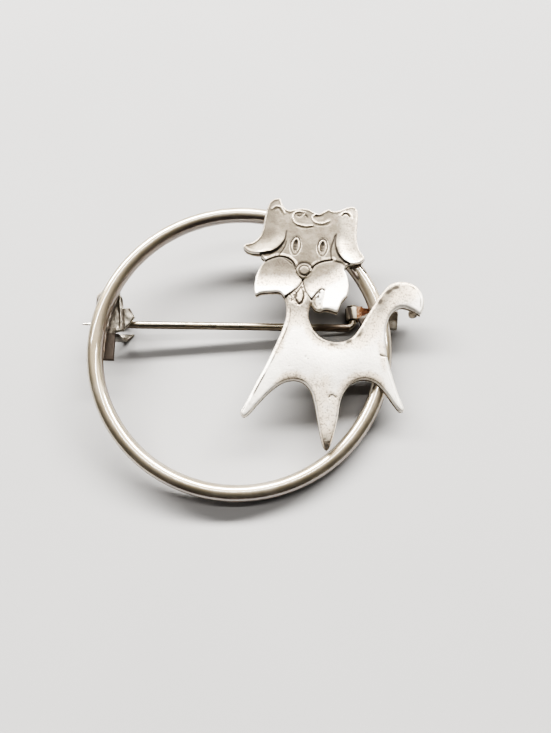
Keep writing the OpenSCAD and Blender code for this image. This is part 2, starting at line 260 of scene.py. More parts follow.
def unit(vectors):
    """The vectors at length one."""
    return vectors / np.maximum(np.linalg.norm(vectors, axis=1), 1e-9)[:, None]


def outward(edge):
    """Directions that point out of the closed outline at each of its points."""
    way = np.roll(edge, -1, 0) - np.roll(edge, 1, 0)
    out = unit(np.stack([way[:, 1], -way[:, 0]], 1))
    return -out if inside(edge[:1] + out[:1] * 0.01, edge)[0] else out


def outline_points(stretches, spacing, grow=0.0):
    """The closed outline as points, with a corner where two stretches meet."""
    edge = np.vstack([along(s, spacing)[:-1] for s in stretches])
    return edge + outward(edge) * grow if grow else edge


def gap_to(points, line, closed=False):
    """Distance of each point from a line of straight pieces."""
    a = np.asarray(line, float)
    b = np.roll(a, -1, 0) if closed else a[1:]
    a = a if closed else a[:-1]
    best = np.full(len(points), 1e9)
    for start in range(0, len(points), CHUNK):
        p = points[start:start + CHUNK, None, :]
        ab = (b - a)[None]
        t = np.clip(((p - a) * ab).sum(2) / np.maximum((ab**2).sum(2), 1e-12), 0, 1)
        best[start:start + CHUNK] = np.sqrt((((a + t[..., None] * ab) - p) ** 2).sum(2)).min(1)
    return best


def inside(points, polygon):
    """True where a point lies inside the polygon."""
    x, y = points[:, 0], points[:, 1]
    result = np.zeros(len(points), bool)
    q = np.asarray(polygon, float)
    for (x0, y0), (x1, y1) in zip(q, np.roll(q, -1, 0)):
        if y0 != y1:
            crosses = (y0 > y) != (y1 > y)
            result ^= crosses & (x < (x1 - x0) * (y - y0) / (y1 - y0) + x0)
    return result


def region(points, polygon, soft=0.05):
    """1 inside the polygon and 0 outside, with a steep step at its edge."""
    d = gap_to(points, polygon, closed=True)
    return np.clip(0.5 + np.where(inside(points, polygon), d, -d) / (2 * soft), 0, 1)


def smooth_step(x, low, high):
    """0 at low and 1 at high, with an even change between them."""
    t = np.clip((x - low) / (high - low), 0, 1)
    return t * t * (3 - 2 * t)


def bell(distance, width, power=2):
    """1 at no distance, and almost 0 past twice the width."""
    return np.exp(-(distance / width) ** power)


def mixed(a, b, share):
    return a * (1 - share) + b * share


def rounded(depth, radius, drop):
    """Fall of a rounded edge at this distance from it: -drop at the edge, 0 past the radius."""
    t = np.clip(1 - depth / radius, 0, 1)
    return -drop * (1 - np.sqrt(np.maximum(1 - t * t, 0)))


def lumps(points, scale, seed):
    """Slow unevenness between -1 and 1 at each point."""
    p = np.asarray(points, float)
    z = p[:, 2] if p.shape[1] > 2 else np.zeros(len(p))
    spots = np.stack([p[:, 0] * scale + seed, p[:, 1] * scale, z * scale + seed * 0.37], 1)
    return np.array([noise.noise(Vector(spot)) for spot in spots])


def spotty(points, base, strength, scale, seed):
    """Share between 0 and 1 that comes and goes slowly over the points."""
    return np.clip(base + strength * lumps(points, scale, seed), 0, 1)


def spread(edge, border, rings, lines, grids):
    """Points inside the outline: beside its edge, beside the lines, then grids between two heights.

    Rings and the offsets of lines are distances, and a grid's points stay a border off the edge.
    """
    chosen, taken = [], set()

    def take(candidates, cell):
        """Keep one candidate in each square cell that is still free."""
        for p in candidates:
            key = (int(p[0] / cell), int(p[1] / cell))
            if key not in taken:
                taken.add(key)
                chosen.append(p)

    def clear(candidates, gap):
        return inside(candidates, edge) & (gap_to(candidates, edge, closed=True) > gap)

    inward = -outward(edge)
    for r in rings:
        ring = edge + inward * r
        take(ring[clear(ring, r * 0.97)], RING_CELL)
    for line, offsets in lines:
        path = along(line, 0.075)
        way = np.gradient(path, axis=0)
        side = unit(np.stack([-way[:, 1], way[:, 0]], 1))
        for off in offsets:
            row = path + side * off
            take(row[clear(row, 0.04)], LINE_CELL)
    low, high = edge.min(0), edge.max(0)
    for step, bottom, top in grids:
        ys = np.arange(low[1], high[1], step * 0.866)
        xs = np.arange(low[0], high[0], step)
        g = np.array([(x + (step / 2 if j % 2 else 0), y) for j, y in enumerate(ys) for x in xs])
        g = g[(g[:, 1] > bottom) & (g[:, 1] <= top)]
        g = g[clear(g, border)]
        for line, offsets in lines:
            g = g[gap_to(g, line) > max(offsets) + step * 0.5]
        take(g, GRID_CELL)
    return np.array(chosen)


def triangles(edge, inner):
    """Triangles that fill the outline through all the points."""
    points, n = np.vstack([edge, inner]), len(edge)
    made = geometry.delaunay_2d_cdt(
        [Vector(p) for p in points], [(i, (i + 1) % n) for i in range(n)], [], 1, 1e-7)
    verts, faces, origin = made[0], made[2], made[3]
    if len(verts) != len(points):
        raise RuntimeError("the outline crosses itself")
    tris = np.array([o[0] for o in origin])[np.array([list(f) for f in faces])]
    a, b, c = (points[tris[:, k]] for k in range(3))
    turned = (b[:, 0] - a[:, 0]) * (c[:, 1] - a[:, 1]) - (b[:, 1] - a[:, 1]) * (c[:, 0] - a[:, 0]) < 0
    tris[turned] = tris[turned][:, ::-1]
    return points, tris


def relaxed(values, tris, fixed, rounds):
    """Values evened out over neighbouring points, with the first ones held."""
    pairs = np.vstack([tris[:, [0, 1]], tris[:, [1, 2]], tris[:, [2, 0]]])
    pairs = np.unique(np.sort(pairs, 1), axis=0)
    n = len(values)
    count = np.maximum(np.bincount(pairs.ravel(), minlength=n), 1)
    v = values.copy()
    for _ in range(rounds):
        total = np.bincount(pairs[:, 0], v[pairs[:, 1]], n) + np.bincount(pairs[:, 1], v[pairs[:, 0]], n)
        v = total / count
        v[:fixed] = values[:fixed]
    return v


def add_piece(name, points, faces, material, fields, body=BROOCH, slot=SILVER_SLOT):
    """One mesh piece in the row frame, riding on a body, with the masks of its material."""
    m = np.array(LAID)
    placed = np.asarray(points, float) @ m[:3, :3].T + m[:3, 3]
    mesh = bpy.data.meshes.new(name)
    mesh.from_pydata(placed.tolist(), [], [tuple(int(i) for i in f) for f in faces])
    mesh.validate()
    for key, values in fields.items():
        layer = mesh.attributes.new(key, "FLOAT", "POINT")
        layer.data.foreach_set("value", np.asarray(values, np.float32))
    mesh.shade_smooth()
    mesh.materials.append(finish(material))
    piece = bpy.data.objects.new(name, mesh)
    bpy.context.scene.collection.objects.link(piece)
    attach(piece, body)
    return piece


def cast_plate(edge, flat, tris, heights, back_at, wall, back_grid):
    """Closed plate over a front of triangles: its points and faces.

    Each row of the wall has its share of the way to the back and how far it stands proud.
    """
    n, out, back_edge = len(edge), outward(edge), back_at(edge)
    points, faces = [np.c_[flat, heights]], tris.tolist()
    order = np.arange(n)
    after = (order + 1) % n
    x, y = edge.T
    leftward = np.sum(x * np.roll(y, -1) - np.roll(x, -1) * y) > 0
    start, total = 0, len(flat)
    for share, proud in wall:
        points.append(np.c_[edge + out * proud, heights[:n] + (back_edge - heights[:n]) * share])
        a, b, c, d = start + order, start + after, total + after, total + order
        faces += np.stack([a, d, c, b] if leftward else [a, b, c, d], 1).tolist()
        start, total = total, total + n
    low, high = edge.min(0), edge.max(0)
    xs, ys = np.arange(low[0], high[0], back_grid), np.arange(low[1], high[1], back_grid)
    g = np.array([(x, y) for y in ys for x in xs])
    g = g[inside(g, edge)]
    g = g[gap_to(g, edge, closed=True) > back_grid * 0.4]
    back_tris = triangles(edge + out * wall[-1][1], g)[1]
    points.append(np.c_[g, back_at(g)])
    faces += np.r_[start + order, total + np.arange(len(g))][back_tris][:, ::-1].tolist()
    return np.vstack(points), faces


def bands(rows, around, closed=False):
    """Faces between the rows of a tube, each of as many points."""
    faces = []
    for i in range(rows if closed else rows - 1):
        a, b = i * around, (i + 1) % rows * around
        faces += [(a + (k + 1) % around, b + (k + 1) % around, b + k, a + k) for k in range(around)]
    return faces


def swept(path, radii, around):
    """Round bar along a path, with a flat face at each end."""
    p = np.asarray(path, float)
    way = np.gradient(p, axis=0)
    way /= np.linalg.norm(way, axis=1)[:, None]
    side = np.cross(way[0], (0.0, 0.0, 1.0))
    if np.linalg.norm(side) < 1e-6:
        side = np.array((1.0, 0, 0))
    side /= np.linalg.norm(side)
    angles = np.linspace(0, 2 * math.pi, around, endpoint=False)[:, None]
    points = []
    for centre, w, r in zip(p, way, radii):
        side = side - w * side.dot(w)
        side /= np.linalg.norm(side)
        points.append(centre + r * (np.cos(angles) * side + np.sin(angles) * np.cross(w, side)))
    last = (len(p) - 1) * around
    ends = [tuple(reversed(range(around))), tuple(last + k for k in range(around))]
    return np.vstack(points), bands(len(p), around) + ends


def strip(normals, sides, thickness, edge_r):
    """Bent sheet with rounded edges, given by its normal and its two sides at each step."""
    corner = np.linspace(0, math.pi / 2, 4)
    corners = ((1, 1, corner), (-1, 1, corner[::-1]), (-1, -1, corner), (1, -1, corner[::-1]))
    points, faces = [], []
    for n, (low, high) in zip(normals, sides):
        n, low, high = (np.asarray(v, float) for v in (n, low, high))
        width = np.linalg.norm(high - low)
        across, middle = (high - low) / width, (low + high) / 2
        for sx, sz, span in corners:
            for a in span:
                points.append(middle + across * sx * (width / 2 - edge_r + edge_r * math.cos(a))
                              + n * sz * (thickness / 2 - edge_r + edge_r * math.sin(a)))
    count = 4 * len(corner)
    last = len(points) - count
    for a in range(0, last, count):
        b = a + count
        faces += [(a + k, a + (k + 1) % count, b + (k + 1) % count, b + k) for k in range(count)]
    return np.array(points), faces + [tuple(reversed(range(count))), tuple(last + k for k in range(count))]


def facing_out(points, faces):
    """Faces turned so that the closed shape's volume is positive."""
    fans = np.array([(f[0], f[i], f[i + 1]) for f in faces for i in range(1, len(f) - 1)])
    a, b, c = np.asarray(points, float)[fans].transpose(1, 0, 2)
    return faces if np.sum(a * np.cross(b, c)) > 0 else [tuple(reversed(f)) for f in faces]


def joined(parts):
    """Several closed shapes as one list of points and faces."""
    points, faces, start = [], [], 0
    for p, f in parts:
        points.append(p)
        faces += [tuple(start + i for i in face) for face in facing_out(p, f)]
        start += len(p)
    return np.vstack(points), faces


# Finishes


class Nodes:
    """Short way to add and link the nodes of one tree."""

    COLUMN, ROW, ROWS = 190, 170, 5

    def __init__(self, tree):
        self.tree = tree
        self.count = 0
        tree.nodes.clear()

    def add(self, kind, **values):
        node = self.tree.nodes.new(kind)
        node.location = (self.count * self.COLUMN, -(self.count % self.ROWS) * self.ROW)
        self.count += 1
        for key, value in values.items():
            setattr(node, key, value)
        return node

    def feed(self, socket, value):
        """Link an output to the socket, or set a plain number or colour on it."""
        if isinstance(value, bpy.types.NodeSocket):
            self.tree.links.new(value, socket)
        else:
            socket.default_value = value if isinstance(value, (int, float)) else (*value[:3], 1.0)

    def noise(self, vector, scale, detail=3.0, rough=0.5, stretch=(1, 1, 1)):
        place, made = self.add("ShaderNodeMapping"), self.add("ShaderNodeTexNoise")
        place.inputs["Scale"].default_value = stretch
        self.feed(place.inputs["Vector"], vector)
        self.feed(made.inputs["Vector"], place.outputs["Vector"])
        for key, value in (("Detail", detail), ("Roughness", rough), ("Scale", scale)):
            self.feed(made.inputs[key], value)
        return made.outputs["Fac"]

    def between(self, value, low, high, to_low=0.0, to_high=1.0, soft=True):
        node = self.add("ShaderNodeMapRange", interpolation_type="SMOOTHSTEP" if soft else "LINEAR")
        names = ("Value", "From Min", "From Max", "To Min", "To Max")
        for key, number in zip(names, (value, low, high, to_low, to_high)):
            self.feed(node.inputs[key], number)
        return node.outputs["Result"]

    def calc(self, operation, a, b, clamp=False):
        node = self.add("ShaderNodeMath", operation=operation, use_clamp=clamp)
        self.feed(node.inputs[0], a)
        self.feed(node.inputs[1], b)
        return node.outputs["Value"]

    def times(self, a, b, clamp=False):
        return self.calc("MULTIPLY", a, b, clamp)

    def plus(self, a, b, clamp=False):
        return self.calc("ADD", a, b, clamp)

    def blend(self, colour, *films):
        """The colour with films over it, each given by how much it covers and its own colour."""
        for share, film in films:
            node = self.add("ShaderNodeMix", data_type="RGBA")
            for socket, value in ((0, share), (6, colour), (7, film)):
                self.feed(node.inputs[socket], value)
            colour = node.outputs[2]
        return colour

    def field(self, name):
        return self.add("ShaderNodeAttribute", attribute_name=name).outputs["Fac"]

    def place(self):
        return self.add("ShaderNodeTexCoord").outputs["Object"]

    def group(self, tree, vector, **values):
        """The outputs of a node group that is placed with its own values."""
        node = self.add("ShaderNodeGroup", node_tree=tree)
        self.feed(node.inputs["Vector"], vector)
        for key, value in values.items():
            self.feed(node.inputs[key], value)
        return node.outputs

    def bump(self, shader, height, distance):
        node = self.add("ShaderNodeBump")
        node.inputs["Distance"].default_value = distance
        self.feed(node.inputs["Height"], height)
        self.feed(shader.inputs["Normal"], node.outputs["Normal"])


def new_group(name, inputs, outputs):
    """An empty node group with a Vector input and named number inputs and outputs."""
    tree = bpy.data.node_groups.new(name, "ShaderNodeTree")
    tree.interface.new_socket("Vector", in_out="INPUT", socket_type="NodeSocketVector")
    for key, value in inputs.items():
        socket = tree.interface.new_socket(key, in_out="INPUT", socket_type="NodeSocketFloat")
        socket.default_value = value
    for key in outputs:
        tree.interface.new_socket(key, in_out="OUTPUT", socket_type="NodeSocketFloat")
    n = Nodes(tree)
    return tree, n, n.add("NodeGroupInput").outputs, n.add("NodeGroupOutput").inputs


def scratches_group():
    """Fine scratches of wear in three directions: how marked a place is, and its height."""
    tree, n, start, end = new_group("Fine Scratches", {"Scale": 900.0, "Amount": 0.5}, ("Mask", "Height"))
    cuts = []
    for turn, narrow in ((0.4, 0.04), (1.5, 0.05), (2.5, 0.07)):
        rotate = n.add("ShaderNodeVectorRotate", rotation_type="Z_AXIS")
        rotate.inputs["Angle"].default_value = turn
        n.feed(rotate.inputs["Vector"], start["Vector"])
        lines = n.noise(rotate.outputs["Vector"], start["Scale"], 2.0, 0.6, (1.0, narrow, 1.0))
        cuts.append(n.between(lines, 0.60, 0.72))
    total = n.calc("MAXIMUM", n.calc("MAXIMUM", cuts[0], cuts[1]), cuts[2])
    patches = n.between(n.noise(start["Vector"], 160.0, 2.0), 0.4, 0.65)
    mask = n.times(n.times(total, patches), start["Amount"], clamp=True)
    n.feed(end["Mask"], mask)
    n.feed(end["Height"], n.times(mask, -1.0))
    return tree


def tarnish_group():
    """Cloudy tarnish: broad patches, small specks, and both together."""
    tree, n, start, end = new_group(
        "Tarnish Clouds", {"Scale": 260.0, "Amount": 0.5, "Specks": 0.5}, ("Clouds", "Specks", "Mask"))
    clouds = n.between(n.noise(start["Vector"], start["Scale"], 5.0, 0.62), 0.42, 0.68)
    clouds = n.times(clouds, start["Amount"], clamp=True)
    specks = n.between(n.noise(start["Vector"], 5200.0, 2.0, 0.7), 0.62, 0.72)
    specks = n.times(specks, start["Specks"], clamp=True)
    n.feed(end["Clouds"], clouds)
    n.feed(end["Specks"], specks)
    n.feed(end["Mask"], n.calc("MAXIMUM", clouds, specks))
    return tree


def grain_group():
    """Fine uneven skin of cast or drawn metal."""
    tree, n, start, end = new_group("Metal Grain", {"Scale": 2600.0, "Waves": 0.5}, ("Height", "Value"))
    fine = n.noise(start["Vector"], start["Scale"], 4.0, 0.6)
    slow = n.noise(start["Vector"], 420.0, 2.0, 0.5)
    n.feed(end["Height"], n.plus(fine, n.times(slow, start["Waves"])))
    n.feed(end["Value"], fine)
    return tree


GROUPS = {"Fine Scratches": scratches_group, "Tarnish Clouds": tarnish_group, "Metal Grain": grain_group}


def shared(name):
    """The node group of that name, made at its first use."""
    return bpy.data.node_groups.get(name) or GROUPS[name]()


def shade(colour, *by):
    """The colour times one factor, or times one for each of red, green and blue."""
    return tuple(c * by[k % len(by)] for k, c in enumerate(colour))


def new_finish(name, clouds, grain, marks=None):
    """A metal material with its tarnish, its grain and, where given, its scratches.

    Clouds are the scale, amount and specks of the tarnish, grain the scale and waves of the
    skin, and marks the scale and amount of the scratches.
    """
    made = bpy.data.materials.new(name)
    made.use_nodes = True
    n = Nodes(made.node_tree)
    shader = n.add("ShaderNodeBsdfPrincipled")
    shader.inputs["Metallic"].default_value = 1.0
    n.feed(n.add("ShaderNodeOutputMaterial").inputs["Surface"], shader.outputs["BSDF"])
    place = n.place()
    clouds = n.group(shared("Tarnish Clouds"), place, **dict(zip(("Scale", "Amount", "Specks"), clouds)))
    grain = n.group(shared("Metal Grain"), place, **dict(zip(("Scale", "Waves"), grain)))
    if marks:
        marks = n.group(shared("Fine Scratches"), place, **dict(zip(("Scale", "Amount"), marks)))["Height"]
    return made, n, shader, place, clouds, grain, marks


def figure_finish(name, s):
    """Cast silver-coloured metal: bright where rubbed and where light is painted, matte grey on the head and
    where shade is painted, dark cut lines with painted shade.
    """
    made, n, shader, _, clouds, grain, marks = new_finish(
        name, clouds=(900.0, 0.4, 0.6), grain=(3900.0, 0.25), marks=(6500.0, 0.25))
    # the dark field: tarnish in cut lines and pits, and painted shade in the legs' creases, beside raised
    # lines, on the walls, on parts of the head and on the stub's right side
    satin_and_shade, tarnish_and_shade = n.field("satin_and_shade"), n.field("tarnish_and_shade")
    cream = n.times(n.between(satin_and_shade, 0.05, 0.22), n.between(satin_and_shade, 0.35, 0.75, 0.4, 0.0))
    dots = n.times(n.between(grain["Value"], 0.37, 0.5, 1.0, 0.0), n.between(satin_and_shade, 0.05, 0.24, 0.08, 0.62))
    n.feed(shader.inputs["Base Color"], n.blend(
        s.bright_metal,
        (n.between(satin_and_shade, 0.0, 0.85), s.satin_metal),
        (cream, shade(s.warm_tarnish, 1.5, 1.3, 1.0)),
        (dots, shade(s.brown_tarnish, 0.5)),
        (n.times(clouds["Clouds"], n.between(satin_and_shade, 0.0, 1.0, 0.07, 0.5)), s.warm_tarnish),
        (n.times(clouds["Specks"], n.between(satin_and_shade, 0.0, 1.0, 0.09, 0.9)), s.brown_tarnish),
        (n.between(tarnish_and_shade, 0.1, 0.8, 0.0, 0.95), s.dark_tarnish)))
    rough = n.between(satin_and_shade, 0.0, 1.0, 0.50, 0.40, soft=False)
    rough = n.plus(rough, n.times(clouds["Mask"], 0.1))
    n.feed(shader.inputs["Roughness"], n.plus(rough, n.times(tarnish_and_shade, 0.3), clamp=True))
    whole = n.between(satin_and_shade, 0.0, 1.0, 0.95, 0.7, soft=False)
    n.feed(shader.inputs["Metallic"], n.times(whole, n.between(tarnish_and_shade, 0.3, 1.0, 1.0, 0.45)))
    n.bump(shader, n.plus(grain["Height"], n.times(marks, 0.8)), 0.000022)
    return made


def ring_finish(name, s):
    """Polished wire whose crest is rubbed bright, with brown tarnish and painted shade on its sides, and a
    painted dark reflection where it faces -Y.
    """
    made, n, shader, place, clouds, grain, marks = new_finish(
        name, clouds=(220.0, 0.6, 0.3), grain=(2400.0, 0.7), marks=(1100.0, 0.8))
    side = n.field("side")
    # side: brown tarnish with painted shade below the crest, darker on the sides that face -Y
    share = n.plus(side, n.times(clouds["Clouds"], 0.35), clamp=True)
    # painted dark reflection, laid as patchy dark brown where the wire faces -Y
    patchy = n.times(n.field("painted_dark_reflection"), n.between(n.noise(place, 700.0, 3.0), 0.3, 0.6, 0.6, 1.0))
    n.feed(shader.inputs["Base Color"], n.blend(
        s.ring_metal,
        (clouds["Clouds"], s.warm_tarnish),
        (n.between(share, 0.2, 1.1, 0.0, 0.95), s.brown_tarnish),
        (patchy, shade(s.brown_tarnish, 0.75)),
        (n.times(clouds["Specks"], 0.5), s.dark_tarnish)))
    rough = n.between(side, 0.0, 1.0, 0.40, 0.49, soft=False)
    n.feed(shader.inputs["Roughness"], n.plus(rough, n.times(clouds["Mask"], 0.12), clamp=True))
    for key, value in (("Coat Weight", 1.0), ("Coat IOR", 2.8), ("Coat Roughness", 0.05)):
        shader.inputs[key].default_value = value
    n.bump(shader, n.plus(n.times(grain["Height"], 0.6), marks), 0.000007)
    return made


def findings_finish(name, s):
    """Grey sheet of the hinge and catch, with rust on the hinge, and stains with painted shade on the
    knuckle and in the catch's fold.
    """
    rust = name == "Rusted Sheet Metal"
    made, n, shader, place, clouds, grain, marks = new_finish(
        name, clouds=(520.0 if rust else 1500.0, 0.8, 0.6), grain=(5200.0, 0.8), marks=(1700.0, 0.9))
    # stains, with painted shade in the knuckle's dark bars and band and in the catch's fold
    stain_and_shade = n.plus(n.field("stain_and_shade"), n.times(clouds["Clouds"], 0.25), clamp=True)
    colour = n.blend(
        shade(s.sheet_metal, 1.0 if rust else 0.5),
        (clouds["Clouds"], shade(s.warm_tarnish, 1.0 if rust else 0.45)),
        (n.times(clouds["Specks"], 0.8), s.dark_tarnish),
        (n.between(stain_and_shade, 0.1, 1.0, 0.0, 0.96), shade(s.brown_tarnish, 0.2)))
    rough = n.between(clouds["Mask"], 0.0, 1.0, *((0.46, 0.56) if rust else (0.34, 0.5)), soft=False)
    whole = n.between(stain_and_shade, 0.3, 1.0, 1.0, 0.5)
    height = n.plus(grain["Height"], marks)
    if rust:
        crust = n.noise(place, 2600.0, 5.0, 0.7)
        spread_of = n.plus(n.field("rust"), n.times(n.calc("SUBTRACT", crust, 0.5), 1.1))
        share = n.between(spread_of, 0.35, 0.75)
        film = n.times(n.field("film"), n.between(crust, 0.6, 0.42))
        shown = n.blend(s.rust_dark, (n.between(crust, 0.38, 0.6), s.rust_light), (film, s.rust_tan))
        colour = n.blend(colour, (share, shown))
        rough = n.plus(rough, n.times(share, 0.45), clamp=True)
        whole = n.times(whole, n.between(share, 0.0, 1.0, 1.0, 0.15))
        height = n.plus(height, n.times(n.times(crust, share), 4.0))
    for key, value in (("Base Color", colour), ("Roughness", rough), ("Metallic", whole)):
        n.feed(shader.inputs[key], value)
    n.bump(shader, height, 0.000012)
    return made


def stem_finish(name, s):
    """Drawn wire of a slightly brassy tone, brighter at the point, with brown tarnish and painted shade on
    its underside and a painted shadow near the hinge.
    """
    made, n, shader, place, clouds, grain, _ = new_finish(
        name, clouds=(380.0, 0.6, 0.4), grain=(3000.0, 0.4))
    drawn, side = n.noise(place, 2200.0, 2.0, 0.6, (0.03, 1.0, 1.0)), n.field("side")
    n.feed(shader.inputs["Base Color"], n.blend(
        s.stem_metal,
        (n.between(drawn, 0.35, 0.7, 0.0, 0.6), s.brass_tone),
        (n.times(clouds["Clouds"], 0.7), s.brown_tarnish),
        (n.times(clouds["Specks"], 0.5), s.dark_tarnish),
        # side: brown tarnish and painted shade on the underside, and a painted shadow near the hinge
        (n.between(side, 0.0, 1.0, 0.0, 0.94), shade(s.brown_tarnish, 0.4)),
        (n.field("point"), s.bright_metal)))
    rough = n.plus(n.between(drawn, 0.3, 0.7, 0.2, 0.3), n.times(side, 0.22))
    n.feed(shader.inputs["Roughness"], n.plus(rough, n.times(clouds["Mask"], 0.15), clamp=True))
    n.bump(shader, n.plus(grain["Height"], n.times(drawn, 1.4)), 0.0000025)
    return made


def solder_finish(name, s):
    """Dull grey solder that flowed and froze."""
    made, n, shader, _, clouds, grain, _ = new_finish(
        name, clouds=(700.0, 0.9, 0.6), grain=(3200.0, 1.2))
    n.feed(shader.inputs["Base Color"], n.blend(
        s.solder_metal,
        (clouds["Clouds"], s.brown_tarnish),
        (n.times(clouds["Specks"], 0.8), s.dark_tarnish)))
    n.feed(shader.inputs["Roughness"], n.between(clouds["Mask"], 0.0, 1.0, 0.4, 0.62, soft=False))
    n.bump(shader, grain["Height"], 0.00002)
    return made


FINISHES = {
    "Cast Figure Metal": figure_finish,
    "Ring Wire Metal": ring_finish,
    "Clasp Sheet Metal": findings_finish,
    "Rusted Sheet Metal": findings_finish,
    "Stem Wire Metal": stem_finish,
    "Solder Metal": solder_finish,
}


def finish(name):
    """The material of that name, made at its first use."""
    return bpy.data.materials.get(name) or FINISHES[name](name, bpy.context.scene.brooch_finishes)


# Pieces


def build_ring(s):
    """The closed ring wire, very slightly uneven, as bent by hand."""
    steps, around = 360, 40
    wire = s.ring_wire / MM / 2
    radius = s.ring_outer / MM / 2 - wire

    def uneven(t, scale, height):
        return s.unevenness * noise.noise(Vector((math.cos(t) * scale, math.sin(t) * scale, height)))

    points, side, painted_dark_reflection = [], [], []
    for t in np.linspace(0, 2 * math.pi, steps, endpoint=False):
        centre = radius + 0.022 * uneven(t, 2.1, 4.0) - 0.13 * s.unevenness * bell(t - 1.65, 0.75)
        thick = wire - 0.012 + 0.012 * uneven(t, 5, 9.0)
        for a in np.linspace(0, 2 * math.pi, around, endpoint=False):
            r = thick + 0.006 * uneven(t, 14, a * 1.5)
            reach = centre + r * math.cos(a)
            points.append((reach * math.cos(t), reach * math.sin(t), r * math.sin(a)))
            # brown tarnish with painted shade below the crest; the painted shade starts nearer the crest on
            # the sides that face -Y and the right
            away = math.copysign(1, math.cos(a))
            start = 0.5 + 0.42 * (0.45 * away * math.cos(t) - 0.9 * away * math.sin(t))
            side.append(0.9 * smooth_step(start - math.sin(a), 0.0, 0.34))
            # painted dark reflection: dark brown where the wire faces -Y
            tilt = -math.cos(a) * math.sin(t) * smooth_step(-math.sin(t) * away, 0.72, 0.95)
            painted_dark_reflection.append(smooth_step(tilt, 0.36, 0.6) * smooth_step(math.sin(a), -0.75, -0.35))
    faces = facing_out(points, bands(steps, around, closed=True))
    return add_piece("ring_wire", points, faces, "Ring Wire Metal", {"side": side, "painted_dark_reflection": painted_dark_reflection})


def oval(points, lift, half_x, half_y):
    """Distance from an upright oval's line, about right near the line."""
    p = points - np.array((0, lift))
    r = np.maximum(np.linalg.norm(p / np.array((half_x, half_y)), axis=1), 1e-6)
    return (r - 1) * np.linalg.norm(p, axis=1) / r


class Front:
    """The figure's front at each of its points: height, dark tarnish and painted shade, bright ridges with
    painted highlight, and areas.
    """

    def __init__(self, p, edge):
        self.p, self.x, self.y = p, p[:, 0], p[:, 1]
        self.z = self.tarnish_and_shade = self.ridge = np.zeros(len(p))
        self.depth = gap_to(p, edge, closed=True)
        self.depth[:len(edge)] = 0.0
        self.on_face = smooth_step(self.y, 7.6, 8.1)
        self.left, self.right = region(p, LOBE_LEFT), region(p, LOBE_RIGHT)
        self.ear_left, self.ear_right = region(p, EAR_LEFT), region(p, EAR_RIGHT)
        self.down_left, self.down_right = gap_to(p, EAR_EDGE_LEFT[2:]), gap_to(p, EAR_EDGE_RIGHT[2:])
        self.tag = region(p, TAG)

    def mark(self, mask, height=0.0, dark=0.0, bright=0.0):
        """Raise the mask, or cut it in, and darken it with tarnish and painted shade, or brighten it as
        rubbed metal and painted light.
        """
        self.z = self.z + height * mask
        self.tarnish_and_shade = np.maximum(self.tarnish_and_shade, dark * mask)
        self.ridge = np.maximum(self.ridge, bright * mask)

    def near(self, line):
        """Distance from the curve through the line's points."""
        return gap_to(self.p, along(line, 0.06))


def shape_front(f, tris, fixed, dome):
    """Heights of the body, the face, the ears, the jowls and the tag."""
    x, y, depth = f.x, f.y, f.depth
    domed = relaxed(dome * (1 - np.exp(-depth / 1.9)), tris, fixed, 90)
    body = FRONT_Z - 0.2 + domed + rounded(depth, 0.4, 0.3)
    # the face lies a little lower, and its parts rise towards their lower edges
    face = FRONT_Z - 0.22 + rounded(depth, 0.2, 0.16) + 0.07 * bell(depth - 0.2, 0.12)
    face = face + f.ear_left * 0.32 * bell(f.down_left, 1.05, 1.8) * smooth_step(y, 16.5, 12.0)
    face = face + f.ear_right * 0.26 * bell(f.down_right, 1.25, 1.8) * smooth_step(y, 15.5, 11.0)
    z = mixed(body, face, f.on_face)
    for area, top, fall, lift, power, middle, half, drop in (
            (f.left, 11.2, 5.2, 0.42, 2.6, 4.6, 2.6, 0.1),
            (f.right, 10.6, 6.2, 0.46, 2.2, 10.8, 2.8, 0.08)):
        # each jowl rises from its top towards the lip and falls off to its sides
        lobe = lift * np.clip((top - y) / fall, 0, 1) ** power - drop * ((x - middle) / half) ** 2
        z = mixed(z, FRONT_Z - 0.3 + lobe + rounded(depth, 0.26, 0.22), area)
    z = mixed(z, FRONT_Z - 0.12 - 0.05 * np.clip(y - 5.0, 0, 2), f.tag)
    lozenge, flap = region(f.p, TAG_LOZENGE, 0.09), region(f.p, FLAP, 0.08)
    rough_cast = np.maximum(f.tag * (1 - lozenge), 0.8 * flap)
    z += lozenge * (0.10 + 0.16 * (x - 7.45)) - 0.04 * flap + 0.05 * rough_cast * lumps(f.p, 4.5, 2.4)
    f.z = z + 0.012 * lumps(f.p, 0.55, 1.7) + 0.005 * lumps(f.p, 2.3, 5.2)
    f.mark(rough_cast * smooth_step(lumps(f.p, 4.5, 9.4), -0.05, 0.4), dark=0.95)
    f.mark(bell(gap_to(f.p, TAG_LOZENGE, closed=True), 0.09), dark=0.9)


